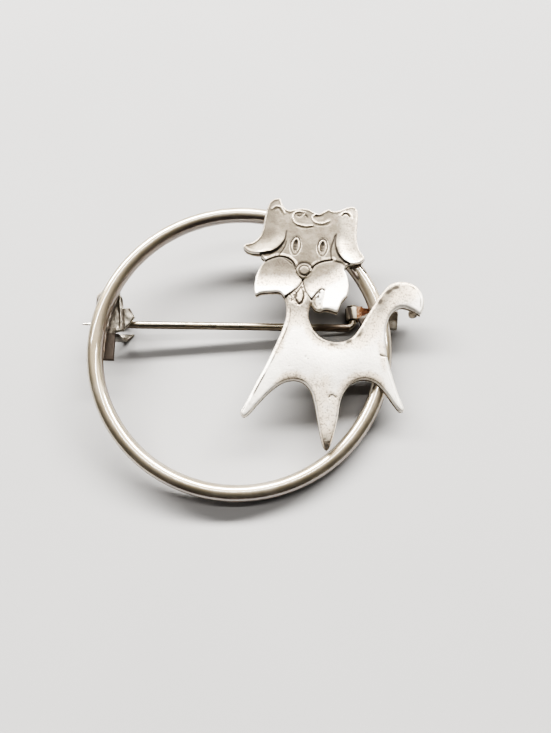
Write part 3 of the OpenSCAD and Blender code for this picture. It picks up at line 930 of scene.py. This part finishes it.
def draw_face(f):
    """Drawn lines, ear edges, eyes and nose."""
    beside = 0.7 + 0.3 * lumps(f.p, 2.0, 4.0)
    for line, height, half in STROKES:
        d = f.near(line)
        f.mark(bell(d, half), height)
        if height < 0:
            f.mark(bell(d, half * 1.35), dark=min(1.0, -height / 0.09))
        else:
            # painted shadow in a band beside each raised stroke, and on the thin ones a painted highlight
            # over rubbed metal
            f.mark(bell(d - half * 1.9, half * 0.8) * beside, dark=0.3)
            f.mark(bell(d, half * 0.9), bright=1.0 if half < 0.15 else 0.0)
    for line in (EAR_EDGE_LEFT, EAR_EDGE_RIGHT):
        d = f.near(line)
        f.mark(bell(d, 0.09), -0.05)
        f.mark(bell(d, 0.13), dark=1.0)
    for centre, half_x, half_y, slot_x, slot_y, lean in EYES:
        q = f.p - np.array(centre)
        q = np.c_[q[:, 0] - lean * q[:, 1], q[:, 1]]
        # the raised lid is rubbed bright with a painted highlight
        f.mark(bell(oval(q, 0, half_x, half_y), 0.1), 0.13, bright=1.0)
        hollow = np.clip(-oval(q, 0, slot_x + 0.08, slot_y + 0.08) / 0.14, 0, 1)
        f.mark(hollow, -0.16)
        f.mark(hollow * (0.7 + 0.3 * np.cos(q[:, 1] * 16.0)), dark=1.0)
        # the cut-in arc above each eye is dark with tarnish, and darker towards its upper left as painted
        # shade
        over = bell(oval(q, 0.12, half_x + 0.17, half_y + 0.1), 0.13)
        f.mark(over * (0.65 + 0.35 * smooth_step(q[:, 1] - 0.5 * q[:, 0], 0.3, 0.85)), -0.09, dark=1.0)
        # painted highlight: a pale ring round each eye, with no relief
        f.mark(bell(oval(q, 0, half_x + 0.3, half_y + 0.34), 0.1), bright=0.7)
    d = np.linalg.norm(f.p - np.array(NOSE), axis=1)
    f.mark(1 - smooth_step(d, NOSE_R - 0.14, NOSE_R + 0.02), 0.14)
    f.mark(np.clip(1 - (d / NOSE_R) ** 2, 0, 1), 0.03)
    f.mark(bell(d - 0.86, 0.09), 0.07)
    f.mark(bell(d - NOSE_R - 0.03, 0.09), dark=0.8)
    f.mark(bell(d - 1.08, 0.14) * smooth_step(f.y, 9.2, 9.7), -0.08, dark=1.0)


def mark_wear(f):
    """Pits, stains with one line of painted shade, the line along the front leg, painted shade in the
    creases of the legs, and painted shade on the upper left ear and the top of the left jowl.
    """
    x, y = f.x, f.y
    for centre, deep, radius in PITS:
        d = np.linalg.norm(f.p - np.array(centre), axis=1)
        f.mark(bell(d, radius), -deep)
        f.mark(bell(d, radius * 1.2), dark=0.85)
    patchy = spotty(f.p, 0.72, 0.8, 1.3, 3.1)
    for line, deep, half, dark in STAINS:
        stain_and_shade = bell(f.near(line), half)
        f.mark(stain_and_shade, -deep)
        f.mark(stain_and_shade * patchy, dark=dark)
    from_line = gap_to(f.p, along(LEG_LINE, 0.1))
    f.mark(bell(from_line, 0.1), 0.014)
    f.mark(bell(from_line, 0.12) * spotty(f.p, 0.7, 0.8, 0.8, 6.4), dark=0.85)
    # painted shade: a dark line just inside the legs' edges, where the front rounds down to the wall
    painted_crease_shade = bell(f.depth - 0.21, 0.055) * smooth_step(y, 0.6, -1.0)
    painted_crease_shade *= smooth_step(from_line, 0.3, 0.55) * smooth_step(18.1 - 0.29 * (y + 2) - x, 0.3, 0.7)
    f.mark(painted_crease_shade * spotty(f.p, 0.75, 0.8, 0.9, 8.1), dark=0.8)
    # painted shade: the upper left ear and the top of the left jowl darker
    f.mark(f.ear_left * smooth_step(y, 12.5, 14.5) * smooth_step(x, 5.9, 4.2), dark=0.42)
    f.mark(f.left * smooth_step(y, 8.6, 10.2), dark=0.45)


def satin_and_shade_of(f):
    """Where the metal is grey: matte on the head, partly as painted shade, and painted shade on the neck,
    the tail, the middle leg, along the back and towards the body's rim; not where it is rubbed bright and
    not where light is painted.
    """
    x, y, depth = f.x, f.y, f.depth
    # rubbed bright and painted light: the lower jowls and lower ears are painted lighter, edges and ridges
    # are rubbed bright with a painted highlight, and the tag and the bands above the muzzle lines are
    # lighter
    rubbed_and_painted_light = f.left * smooth_step(y, 10.2, 6.2) + 0.6 * f.tag
    rubbed_and_painted_light += f.right * smooth_step(y - 0.45 * (x - 10.8), 10.3, 6.0)
    rubbed_and_painted_light += 0.8 * f.ear_left * bell(f.down_left, 0.5) * smooth_step(x, 4.9, 3.4)
    rubbed_and_painted_light += f.ear_right * bell(f.down_right, 1.15) * smooth_step(x, 12.4, 13.2)
    rubbed_and_painted_light += (0.8 + 0.2 * f.on_face) * bell(depth, 0.17 + 0.04 * f.on_face) + 0.75 * f.ridge
    rubbed_and_painted_light += 0.65 * smooth_step(gap_to(f.p, MUZZLE_LEFT), 0.55, 0.38) * (1 - f.left)
    rubbed_and_painted_light += 0.5 * smooth_step(gap_to(f.p, MUZZLE_RIGHT), 0.55, 0.38) * (1 - f.right)
    # the head is matte grey, partly as painted shade, a little lighter to the right
    head = np.clip(f.on_face + f.left + f.right + f.tag, 0, 1) * (1 - 0.4 * smooth_step(x, 10.5, 14.0))
    # painted shade: greyer on the neck, the tail, the middle leg and its tip, along the back and towards the
    # body's rim
    neck = 0.6 * smooth_step(y, 0.6, 4.8) * (x < 9.5)
    tail = (0.52 + 0.28 * bell(x - 17.9, 1.2)) * bell(gap_to(f.p, TAIL_LINE), 1.75)
    leg = 0.2 * bell(x - 10.3 - 0.02 * y, 2.0) * smooth_step(y + 0.6 * (x - 9.0), -1.4, -4.4)
    leg *= 1 + 2.6 * smooth_step(y, -10.0, -12.3)
    back = 0.7 * bell(gap_to(f.p, BACK_LINE), 0.85)
    rim = 0.34 * bell(depth - 0.4, 0.7) * smooth_step(y, 6.0, 5.0) * (0.75 + 0.5 * lumps(f.p, 0.5, 3.3))
    rim *= 1 - 0.8 * np.maximum(smooth_step(x, 5.0, 3.4), smooth_step(x, 17.0, 18.2))
    satin_and_shade = np.maximum.reduce([head, neck, tail, leg, back, rim])
    satin_and_shade = np.clip(satin_and_shade + 0.06 * lumps(f.p, 1.1, 6.6) + 0.05 * lumps(f.p, 4.0, 2.6), 0.04, 1)
    return np.clip(satin_and_shade * (1 - np.clip(rubbed_and_painted_light, 0, 1)), 0, 1)


def circle(centre, half_x, half_y):
    t = np.linspace(0, 2 * math.pi, 30)
    return np.c_[centre[0] + half_x * np.cos(t), centre[1] + half_y * np.sin(t)]


def build_figure(s):
    """The cast dog: one plate with a modelled front, rounded edges and a plain back."""
    edge = outline_points(OUTLINE, spacing=0.11, grow=0.055)
    beside = (-0.16, -0.08, 0.0, 0.08, 0.16)
    lines = [(line, beside) for line in [stroke[0] for stroke in STROKES] + [EAR_EDGE_LEFT, EAR_EDGE_RIGHT]]
    lines += [(stain_and_shade[0], (-0.3, -0.2, -0.1, 0.0, 0.1, 0.2, 0.3)) for stain_and_shade in STAINS[1:3]]
    lines += [(STAINS[k][0], (-0.08, 0.0, 0.08)) for k in (0, 7)]
    lines.append((LEG_LINE, (-0.14, -0.07, 0.0, 0.07, 0.14)))
    lines.append((TAG_LOZENGE + TAG_LOZENGE[:1], (-0.06, 0.0, 0.06)))
    lines += [(circle(centre, half_x + grow, half_y + grow), (0.0,))
              for centre, half_x, half_y, *_ in EYES for grow in (-0.24, -0.12, 0.0, 0.12, 0.22, 0.33)]
    lines += [(circle(NOSE, r, r), (0.0,)) for r in (0.5, 0.6, 0.68, 0.76, 0.88, 1.0, 1.08, 1.16)]
    # a fine grid for the head and a coarser one below it
    below_head = 3.9
    inner = spread(edge, border=0.58, rings=(0.03, 0.08, 0.14, 0.21, 0.3, 0.4, 0.5), lines=lines,
                   grids=((0.12, below_head, math.inf), (0.2, -math.inf, below_head)))
    flat, tris = triangles(edge, inner)
    n, count = len(edge), len(flat)
    f = Front(flat, edge)
    shape_front(f, tris, n, s.dome / MM)
    draw_face(f)
    mark_wear(f)

    def back_at(q):
        return SEAT_Z + 0.006 + 0.006 * lumps(q, 1.1, 7.7)

    wall = [row[:2] for row in WALL]
    points, faces = cast_plate(edge, flat, tris, f.z, back_at, wall, back_grid=0.45)
    walls = len(WALL) * n
    dark = np.repeat([row[2] for row in WALL], n) * spotty(points[count:count + walls], 0.9, 0.5, 1.4, 2.2)
    back = np.ones(len(points) - count - walls)
    fields = {
        "satin_and_shade": np.r_[satin_and_shade_of(f), np.repeat([row[3] for row in WALL], n), back * 0.75],
        "tarnish_and_shade": np.r_[np.clip(f.tarnish_and_shade, 0, 1), dark, back * 0.15],
    }
    piece = add_piece("dog_figure", points, faces, "Cast Figure Metal", fields)
    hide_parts("soldered_brooch")
    return piece


def build_stub():
    """The post left behind the tail's end, cut off and rounded."""
    heights = (1.3, 0.8, 0.2, -0.4, -0.75, -0.95, -1.03, -1.05)
    radii = (0.52, 0.53, 0.56, 0.6, 0.6, 0.54, 0.4, 0.12)
    path = along([(21.95 - 0.02 * i, 4.2 - 0.02 * i, h) for i, h in enumerate(heights)], 0.1)
    thick = np.interp(np.linspace(0, 1, len(path)), np.linspace(0, 1, len(radii)), radii)
    points, faces = swept(path, thick, around=28)
    points = points + (0.02 * lumps(points, 2.6, 2.2))[:, None] * np.array((1.0, 0.6, 0.2))
    # painted shade: the stub's right side darker, over tarnish
    tarnish_and_shade = 0.1 + 0.3 * lumps(points, 1.9, 8.0) + 0.7 * smooth_step(points[:, 0], 21.75, 22.15)
    fields = {"satin_and_shade": np.full(len(points), 0.45), "tarnish_and_shade": np.clip(tarnish_and_shade, 0, 1)}
    return add_piece("tail_stub", points, facing_out(points, faces), "Cast Figure Metal", fields)


def sheet_plate(name, corners, bend, grid, material, fields):
    """A piece of sheet with rounded edges, bent by a height function of its front."""
    edge = outline_points([[a, b] for a, b in zip(corners, corners[1:] + corners[:1])], spacing=0.12)
    inner = spread(edge, border=0.16, rings=(0.03, 0.08), lines=[], grids=((grid, -math.inf, math.inf),))
    flat, tris = triangles(edge, inner)
    depth = gap_to(flat, edge, closed=True)
    depth[:len(edge)] = 0.0
    wall = ((0.35, 0.01), (0.7, 0.01), (0.92, 0.0), (1.0, -0.06))
    heights = bend(flat) + rounded(depth, 0.1, 0.1)
    points, faces = cast_plate(edge, flat, tris, heights, lambda q: bend(q) - SHEET_T, wall, back_grid=0.4)
    return add_piece(name, points, faces, material, {key: made(points) for key, made in fields.items()})


def build_hinge():
    """The hinge leaf, and the strip of it that is rolled round the stem's leg."""
    tilt = math.radians(-6)
    cos, sin = math.cos(tilt), math.sin(tilt)
    corners = [(17.1 + u * cos - v * sin, 3.85 + u * sin + v * cos) for u, v in (
        (-1.55, -1.25), (2.95, -1.25), (3.05, -1.1), (3.05, 1.1), (2.9, 1.25),
        (-1.8, 1.25), (-2.0, 1.1), (-2.05, -0.1), (-1.95, -0.4), (-1.7, -0.9))]

    def bend(p):
        x, y = p[:, 0], p[:, 1]
        lip = -0.1 * smooth_step(x, 19.2, 20.2) * smooth_step(y, 3.4, 2.4)
        return LEAF_Z + SHEET_T + lip + 0.012 * lumps(p, 1.3, 4.4) - 0.03 * smooth_step(x, 15.6, 14.4)

    def rust_of(q):
        return smooth_step(q[:, 0], 17.6, 16.4) * smooth_step(q[:, 1] - 0.5 * (q[:, 0] - 15.5), 3.7, 4.3)

    def film_of(q):
        return smooth_step(q[:, 0], 15.6, 15.35)

    def stain_and_shade_of(q):
        lower = 0.8 * smooth_step(q[:, 1], 4.3, 3.5) * smooth_step(q[:, 0], 17.8, 16.6)
        return np.clip(0.25 + 0.22 * smooth_step(q[:, 0], 17.8, 18.6) + lower, 0, 1)

    sheet_plate("hinge_leaf", corners, bend, 0.2, "Rusted Sheet Metal",
                {"rust": rust_of, "film": film_of, "stain_and_shade": stain_and_shade_of})

    # the strip comes in flat from the leaf's middle and rolls back under itself
    radius = 0.56 + SHEET_T / 2
    path = [(x, HINGE_Z + radius - 0.05 * max(0.0, x - 15.0)) for x in np.linspace(15.7, HINGE_X + 0.35, 8)]
    normals = [(0, 0, 1)] * len(path)
    for t in np.radians(np.linspace(8, -326, 60)):
        turn = math.pi / 2 + (math.radians(8) - t)
        path.append((HINGE_X + radius * math.cos(turn), HINGE_Z + radius * math.sin(turn)))
        normals.append((math.cos(turn), 0, math.sin(turn)))
    low, high = KNUCKLE_Y
    sides = []
    for x, z in path:
        sway = 0.012 * math.sin(x * 2.1)
        sides.append(((x, low + 0.012 + sway, z), (x, high - 0.012 + sway, z)))
    points, faces = strip(normals, sides, SHEET_T, edge_r=0.08)
    away = points - np.array((HINGE_X, 0, HINGE_Z))
    reach, around = np.hypot(away[:, 0], away[:, 2]), np.arctan2(away[:, 2], away[:, 0])
    facets = 0.035 * (1 + np.cos(6 * around + 1.1 + 0.5 * (points[:, 1] - low)))
    facets += 0.02 * (1 + lumps(points, 2.2, 3.9))
    pull = np.where((reach > 0.8) & (points[:, 0] < HINGE_X + 0.75), facets / np.maximum(reach, 0.1), 0.0)
    points -= away * np.array((1, 0, 1)) * pull[:, None]
    x, y, z = points.T
    worn = lumps(points, 3.0, 6.0)
    # painted shade: dark bars at the knuckle's left edge, and a dark slanted band across its front
    painted_shade_bars = 0.3 * smooth_step(x, 13.7, 13.6)
    painted_shade_bars += 0.9 * smooth_step(np.abs(x - 14.16 + 0.14 * (y - 4.6)), 0.3, 0.18)
    fields = {
        "rust": np.clip(smooth_step(x, 14.75, 15.05) + 0.1 * worn, 0, 1),
        "film": film_of(points),
        "stain_and_shade": np.clip(0.15 + 0.4 * worn + painted_shade_bars + smooth_step(z, -1.5, -2.1), 0, 1),
    }
    add_piece("hinge_knuckle", points, facing_out(points, faces), "Rusted Sheet Metal", fields)


def build_catch():
    """The catch: base plate with its crumpled tab, and the two lips of the hook."""
    corners = [(-18.65, -0.95), (-17.95, -1.65), (-15.9, -1.65), (-15.9, 2.0), (-14.95, 2.2), (-14.45, 2.8),
               (-13.9, 3.65), (-13.65, 4.15), (-14.3, 5.3), (-15.1, 5.2), (-15.35, 6.6), (-15.5, 6.95),
               (-15.9, 7.1), (-15.9, 8.15), (-17.53, 8.15), (-18.65, 7.03)]

    def bend(p):
        x, y = p[:, 0], p[:, 1]
        tab = smooth_step(x, -16.4, -15.9) * smooth_step(y, 1.6, 2.2) * smooth_step(y, 7.6, 7.0)
        fold_x = -15.3 - 0.11 * (y - 4.0)
        folds = 0.16 * bell(x - fold_x, 0.17) - 0.14 * bell(x - fold_x - 0.22, 0.08)
        folds += 0.1 * smooth_step(x, fold_x + 0.25, -14.6) - 0.28 * smooth_step(x, -14.7, -13.7)
        folds += 0.13 * smooth_step(y - 0.6 * (x + 15.9), 2.8, 2.2) * smooth_step(x, -15.0, -15.4)
        folds += 0.05 * lumps(p, 1.6, 2.9) + 0.02 * lumps(p, 4.5, 6.2)
        return LEAF_Z + SHEET_T + 0.01 * lumps(p, 1.0, 3.3) + tab * folds

    def stain_and_shade_of(q):
        x, y = q[:, 0], q[:, 1]
        fold_x = -15.3 - 0.11 * (y - 4.0)
        lower = smooth_step(y, 2.1, 1.7)
        # painted shade in the fold's valley
        painted_fold_shade = 0.9 * bell(x - fold_x - 0.2, 0.08) * smooth_step(y, 1.8, 2.4)
        beside = 0.7 * smooth_step(x, -16.3, -16.8) * smooth_step(y, 7.2, 6.6)
        rim = 0.8 * smooth_step(x + y, -9.6, -9.3) * smooth_step(x, -14.6, -14.2)
        stain_and_shade = np.maximum.reduce([lower, painted_fold_shade, beside, rim])
        return np.clip(stain_and_shade + 0.1 + 0.45 * lumps(q, 3.2, 1.1), 0, 1)

    sheet_plate("catch_plate", corners, bend, 0.12, "Clasp Sheet Metal", {"stain_and_shade": stain_and_shade_of})
    parts, left_x = [], -17.15
    radius, curl_z = HOOK_R - SHEET_T / 2, HOOK_R + HOOK_BOTTOM
    lips = ((1, 4.114, -16.5, -15.45, -15.2), (-1, 2.814, -16.3, -15.5, -14.45))
    for sign, end_y, x_from, top_to, end_to in lips:
        path = [(end_y + sign * radius, z) for z in np.linspace(LEAF_Z + 0.05, curl_z, 9)[:-1]]
        normals = [(0, sign, 0)] * len(path)
        for t in np.radians(np.linspace(0, -90, 16)):
            path.append((end_y + sign * radius * math.cos(t), curl_z + radius * math.sin(t)))
            normals.append((0, sign * math.cos(t), math.sin(t)))
        sides = []
        for (y, z), t in zip(path, np.linspace(0, 1, len(path))):
            start = left_x + (x_from - left_x) * min(1.0, t * 1.7)
            sides.append(((start, y, z), (top_to + (end_to - top_to) * t ** 2.5, y, z)))
        parts.append(strip(normals, sides, SHEET_T - 0.02, edge_r=0.08))
    points, faces = joined(parts)
    points = points + (0.012 * lumps(points, 1.4, 6.1))[:, None] * np.array((0.4, 1.0, 0.6))
    stain_and_shade = 0.3 + 0.5 * lumps(points, 1.2, 5.0) + 0.5 * smooth_step(points[:, 2], -2.2, -1.4)
    add_piece("catch_hook", points, faces, "Clasp Sheet Metal", {"stain_and_shade": np.clip(stain_and_shade, 0, 1)})


def build_solder():
    """Beads of solder where the wire lies on the leaf, the catch and the figure."""
    parts = []
    for k, (r, z, low, high, size, sign) in enumerate(BEADS):
        angles = np.radians(np.linspace(low, high, max(10, int(abs(high - low) * 1.4))))
        path = [(sign * r * math.cos(t), r * math.sin(t), z) for t in angles]
        ends = np.sin(np.linspace(0.12, math.pi - 0.12, len(path))) ** 0.5
        uneven = np.array([1 + 0.35 * noise.noise(Vector((x * 1.3, y * 1.3, k * 2.0))) for x, y, _ in path])
        parts.append(swept(path, size * ends * uneven, around=14))
    return add_piece("solder_beads", *joined(parts), "Solder Metal", {})


def build_stem(s):
    """The pin stem: point, straight shank, bend, leg through the knuckle and peened head."""
    stem_r, tip_r, bend_r, around = s.stem_wire / MM / 2, 0.12, 0.85, 36
    reach, point_len, leg_len = 35.2, 7.2, 1.9
    yaw, lean = math.radians(1.2), math.radians(0.6)
    way = np.array((-math.cos(yaw) * math.cos(lean), math.sin(yaw), -math.cos(yaw) * math.sin(lean)))
    leg = np.array((0.0, 1.0, 0.0))
    corner = np.array((HINGE_X, STEM_Y, HINGE_Z))
    bend_side = bend_r * math.tan(math.pi / 4 + lean)

    # distance from the corner and radius, from the point to the bend
    bar = [(reach - d, r) for d, r in ((0.0, 0.02), (0.012, 0.06), (0.05, 0.1), (0.11, tip_r))]
    bar += [(reach - point_len * t, tip_r + (stem_r - tip_r) * t) for t in np.linspace(0.02, 1, 30)]
    bar += [(d, stem_r) for d in np.linspace(reach - point_len - 0.25, bend_side, 70)]
    path = [corner + way * d for d, _ in bar]
    radii = [r for _, r in bar]

    across = np.cross(np.cross(leg, way), way)
    across /= np.linalg.norm(across) * np.sign(across.dot(leg))
    centre = corner + way * bend_side + across * bend_r
    total = math.pi / 2 + yaw
    for t in np.linspace(0, total, 16)[1:]:
        path.append(centre - across * bend_r * math.cos(t) - way * bend_r * math.sin(t))
        radii.append(stem_r - 0.012 * math.sin(math.pi * t / total))

    # distance below the bend and radius, down the leg to its head
    head = ((0.01, 0.68), (0.04, 0.735), (0.09, 0.745), (0.14, 0.7), (0.18, 0.55), (0.2, 0.25))
    bar = [(d, stem_r) for d in np.linspace(0.15, leg_len, 8)] + [(leg_len + d, r) for d, r in head]
    path += [corner + leg * (bend_side + d) for d, _ in bar]
    radii += [r for _, r in bar]

    points, faces = swept(path, np.array(radii) - 0.004, around)
    x = points[:, 0]
    # painted shade on the underside over brown tarnish, and a painted shadow on the stretch near the hinge,
    # behind the figure
    under = (np.repeat(np.array(path), around, axis=0) - points) @ np.array((0.0, 0.55, 0.83)) / stem_r
    painted_shadow_near_hinge = smooth_step(x, 8.2, 10.5) * (0.35 + 0.65 * smooth_step(x, 14.15, 13.75))
    painted_shadow_near_hinge *= 0.76 + 0.24 * smooth_step(under, -1.0, -0.75)
    fields = {
        "point": smooth_step(-x, 16.0, 20.5) * 0.8,
        "side": np.maximum(smooth_step(under, -0.42, 0.28), painted_shadow_near_hinge),
    }
    faces = facing_out(points, faces)
    piece = add_piece("pin_stem_wire", points, faces, "Stem Wire Metal", fields, STEM, WIRE_SLOT)
    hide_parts("pin_stem")
    return piece


# Stage


def build_stage(s):
    """Pale floor, soft lights, and the camera at the photograph's angle."""
    link = bpy.context.scene.collection.objects.link
    steps = 24
    at = [(i / steps - 0.5) * FLOOR_SIZE for i in range(steps + 1)]
    points = [(x, y, FLOOR_Z) for y in at for x in at]
    corners = [j * (steps + 1) + i for j in range(steps) for i in range(steps)]
    mesh = bpy.data.meshes.new("floor")
    mesh.from_pydata(points, [], [(k, k + 1, k + steps + 2, k + steps + 1) for k in corners])
    floor = bpy.data.objects.new("floor", mesh)
    link(floor)
    made = bpy.data.materials.new("Pale Floor")
    made.use_nodes = True
    mesh.materials.append(made)
    n = Nodes(made.node_tree)
    shader = n.add("ShaderNodeBsdfPrincipled")
    n.feed(n.add("ShaderNodeOutputMaterial").inputs["Surface"], shader.outputs["BSDF"])
    tone = n.between(n.noise(n.place(), 30.0, 3.0), 0.3, 0.7)
    n.feed(shader.inputs["Base Color"], n.blend(shade(s.floor_colour, 0.97), (tone, s.floor_colour)))
    shader.inputs["Roughness"].default_value = 0.9

    world = bpy.data.worlds.new("Soft Room")
    bpy.context.scene.world = world
    world.use_nodes = True
    n = Nodes(world.node_tree)
    sky = n.add("ShaderNodeSeparateXYZ")
    n.feed(sky.inputs["Vector"], n.add("ShaderNodeTexCoord").outputs["Generated"])
    background = n.add("ShaderNodeBackground")
    n.feed(n.add("ShaderNodeOutputWorld").inputs["Surface"], background.outputs["Background"])
    height = n.between(sky.outputs["Y"], -0.75, 0.6)
    n.feed(background.inputs["Color"], n.blend((0.34, 0.33, 0.33), (height, (0.9, 0.9, 0.92))))
    background.inputs["Strength"].default_value = s.room_light

    for name, way, width, depth, watts, tint in (
            ("window_light", (0.0, 0.76, 0.65), 1.7, 0.12, s.window_light, (1.0, 0.985, 0.96)),
            ("ceiling_light", (0.0, 0.24, 0.97), 1.4, 0.03, s.ceiling_light, (1.0, 0.98, 0.95))):
        lamp = bpy.data.lights.new(name, "AREA")
        lamp.shape, lamp.size, lamp.size_y = "RECTANGLE", width, depth
        lamp.energy, lamp.color = watts, tint
        item = bpy.data.objects.new(name, lamp)
        link(item)
        toward = Vector(way).normalized()
        item.location = toward * LAMP_DISTANCE
        item.rotation_mode = "QUATERNION"
        item.rotation_quaternion = toward.to_track_quat("Z", "Y")

    camera = bpy.data.cameras.new("camera")
    camera.lens = camera.sensor_width * PHOTO_SHAPE
    camera.clip_start, camera.clip_end = 0.005, 5.0
    item = bpy.data.objects.new("camera", camera)
    link(item)
    view, up = (TURN @ Vector(CAMERA_WAY)).normalized(), (TURN @ Vector(CAMERA_UP)).normalized()
    right = view.cross(up).normalized()
    up = right.cross(view).normalized()
    turned = Matrix((right, up, -view)).transposed().to_4x4()
    item.matrix_world = Matrix.Translation(LAID @ Vector(CAMERA_AT)) @ turned
    scene = bpy.context.scene
    scene.camera = item
    scene.view_settings.view_transform = "AgX"
    scene.view_settings.look = "AgX - High Contrast"


# Add-on


def colour(name, text, value):
    return bpy.props.FloatVectorProperty(
        name=name, description=text, default=value, subtype="COLOR", size=3, min=0.0, max=1.0)


def length(name, text, value, low, high):
    return bpy.props.FloatProperty(name=name, description=text, default=value, min=low, max=high,
                                   unit="LENGTH", subtype="DISTANCE", precision=5)


def amount(name, text, value, **kind):
    return bpy.props.FloatProperty(name=name, description=text, default=value, min=0.0, **kind)


class BroochShapes(bpy.types.PropertyGroup):
    """Sizes of the brooch's visible pieces."""

    ring_outer: length("Ring", "Diameter of the ring over its wire", 0.038, 0.037, 0.039)
    ring_wire: length("Ring Wire", "Thickness of the ring's wire", 0.002, 0.0018, 0.0022)
    stem_wire: length("Stem Wire", "Thickness of the pin stem's wire", 0.001, 0.0008, 0.001)
    dome: length("Body Dome", "How far the figure's body is domed", 0.00034, 0.0, 0.0006)
    unevenness: amount("Unevenness", "How uneven the hand-bent ring is", 1.0, max=2.0, subtype="FACTOR")


class BroochFinishes(bpy.types.PropertyGroup):
    """Colours of the metals and their tarnish."""

    bright_metal: colour("Bright Metal", "Rubbed silver-coloured metal", (0.99, 0.945, 0.865))
    # also laid as painted shade on the figure's body
    satin_metal: colour("Satin Metal", "Greyer satin metal of the head", (0.166, 0.144, 0.109))
    ring_metal: colour("Ring Metal", "Ring wire where it is rubbed", (0.43, 0.362, 0.25))
    sheet_metal: colour("Sheet Metal", "Sheet of the hinge and the catch", (0.56, 0.52, 0.44))
    stem_metal: colour("Stem Metal", "Drawn wire of the stem", (0.47, 0.425, 0.34))
    brass_tone: colour("Brass Tone", "Brassy streaks of the stem", (0.45, 0.385, 0.26))
    solder_metal: colour("Solder", "Dull grey solder", (0.30, 0.27, 0.235))
    warm_tarnish: colour("Warm Tarnish", "Light tan film on the metal", (0.52, 0.46, 0.38))
    # also laid as painted shade on the wires' undersides and as a painted dark reflection on the ring
    brown_tarnish: colour("Brown Tarnish", "Brown film on the sides of the wire", (0.26, 0.195, 0.15))
    # also laid as painted shade on the figure
    dark_tarnish: colour("Dark Tarnish", "Nearly black deposit in the cut lines", (0.05, 0.04, 0.03))
    rust_light: colour("Light Rust", "Orange rust", (0.22, 0.092, 0.042))
    rust_dark: colour("Dark Rust", "Brown rust", (0.075, 0.028, 0.014))
    rust_tan: colour("Tan Rust", "Thin light film of rust", (0.50, 0.33, 0.21))


class BroochStage(bpy.types.PropertyGroup):
    """Floor and lights."""

    floor_colour: colour("Floor", "Colour of the pale floor", (0.42, 0.415, 0.41))
    window_light: amount("Window Light", "Power of the long soft light", 38.0, unit="POWER")
    ceiling_light: amount("Ceiling Light", "Power of the narrow overhead light", 3.0, unit="POWER")
    room_light: amount("Room Light", "Strength of the light from all round", 0.22, max=4.0, subtype="FACTOR")


class BuildRing(bpy.types.Operator):
    """Build the ring wire"""

    bl_idname = "brooch.build_ring"
    bl_label = "Build Ring"

    def execute(self, context):
        build_ring(context.scene.brooch_shapes)
        return {"FINISHED"}


class BuildFigure(bpy.types.Operator):
    """Build the cast dog figure and the stub behind its tail"""

    bl_idname = "brooch.build_figure"
    bl_label = "Build Dog Figure"

    def execute(self, context):
        build_figure(context.scene.brooch_shapes)
        build_stub()
        return {"FINISHED"}


class BuildHinge(bpy.types.Operator):
    """Build the hinge leaf and its rolled knuckle"""

    bl_idname = "brooch.build_hinge"
    bl_label = "Build Hinge"

    def execute(self, context):
        build_hinge()
        return {"FINISHED"}


class BuildCatch(bpy.types.Operator):
    """Build the catch plate and its hook"""

    bl_idname = "brooch.build_catch"
    bl_label = "Build Catch"

    def execute(self, context):
        build_catch()
        return {"FINISHED"}


class BuildSolder(bpy.types.Operator):
    """Build the solder beads"""

    bl_idname = "brooch.build_solder"
    bl_label = "Build Solder"

    def execute(self, context):
        build_solder()
        return {"FINISHED"}


class BuildStem(bpy.types.Operator):
    """Build the pin stem"""

    bl_idname = "brooch.build_stem"
    bl_label = "Build Pin Stem"

    def execute(self, context):
        build_stem(context.scene.brooch_shapes)
        return {"FINISHED"}


class BuildStage(bpy.types.Operator):
    """Build the floor, the lights and the camera"""

    bl_idname = "brooch.build_stage"
    bl_label = "Build Stage"

    def execute(self, context):
        build_stage(context.scene.brooch_stage)
        return {"FINISHED"}


SETTINGS = {"brooch_shapes": BroochShapes, "brooch_finishes": BroochFinishes, "brooch_stage": BroochStage}
OPERATORS = (BuildRing, BuildFigure, BuildHinge, BuildCatch, BuildSolder, BuildStem, BuildStage)


class BroochPanel(bpy.types.Panel):
    """Panel with the brooch's pieces and settings"""

    bl_idname = "VIEW3D_PT_dog_brooch"
    bl_label = "Dog Brooch"
    bl_space_type = "VIEW_3D"
    bl_region_type = "UI"
    bl_category = "Dog Brooch"

    def draw(self, context):
        for item in OPERATORS:
            self.layout.operator(item.bl_idname)
        for group in SETTINGS:
            box = self.layout.box()
            settings = getattr(context.scene, group)
            for key in settings.bl_rna.properties.keys():
                if key not in ("rna_type", "name"):
                    box.prop(settings, key)


CLASSES = (*SETTINGS.values(), *OPERATORS, BroochPanel)


def register():
    for item in CLASSES:
        bpy.utils.register_class(item)
    for key, kind in SETTINGS.items():
        setattr(bpy.types.Scene, key, bpy.props.PointerProperty(type=kind))


def unregister():
    for key in SETTINGS:
        delattr(bpy.types.Scene, key)
    for item in reversed(CLASSES):
        bpy.utils.unregister_class(item)


def main():
    register()
    bpy.ops.brooch.build_ring()
    bpy.ops.brooch.build_figure()
    bpy.ops.brooch.build_hinge()
    bpy.ops.brooch.build_catch()
    bpy.ops.brooch.build_solder()
    bpy.ops.brooch.build_stem()
    bpy.ops.brooch.build_stage()


if __name__ == "__main__":
    main()
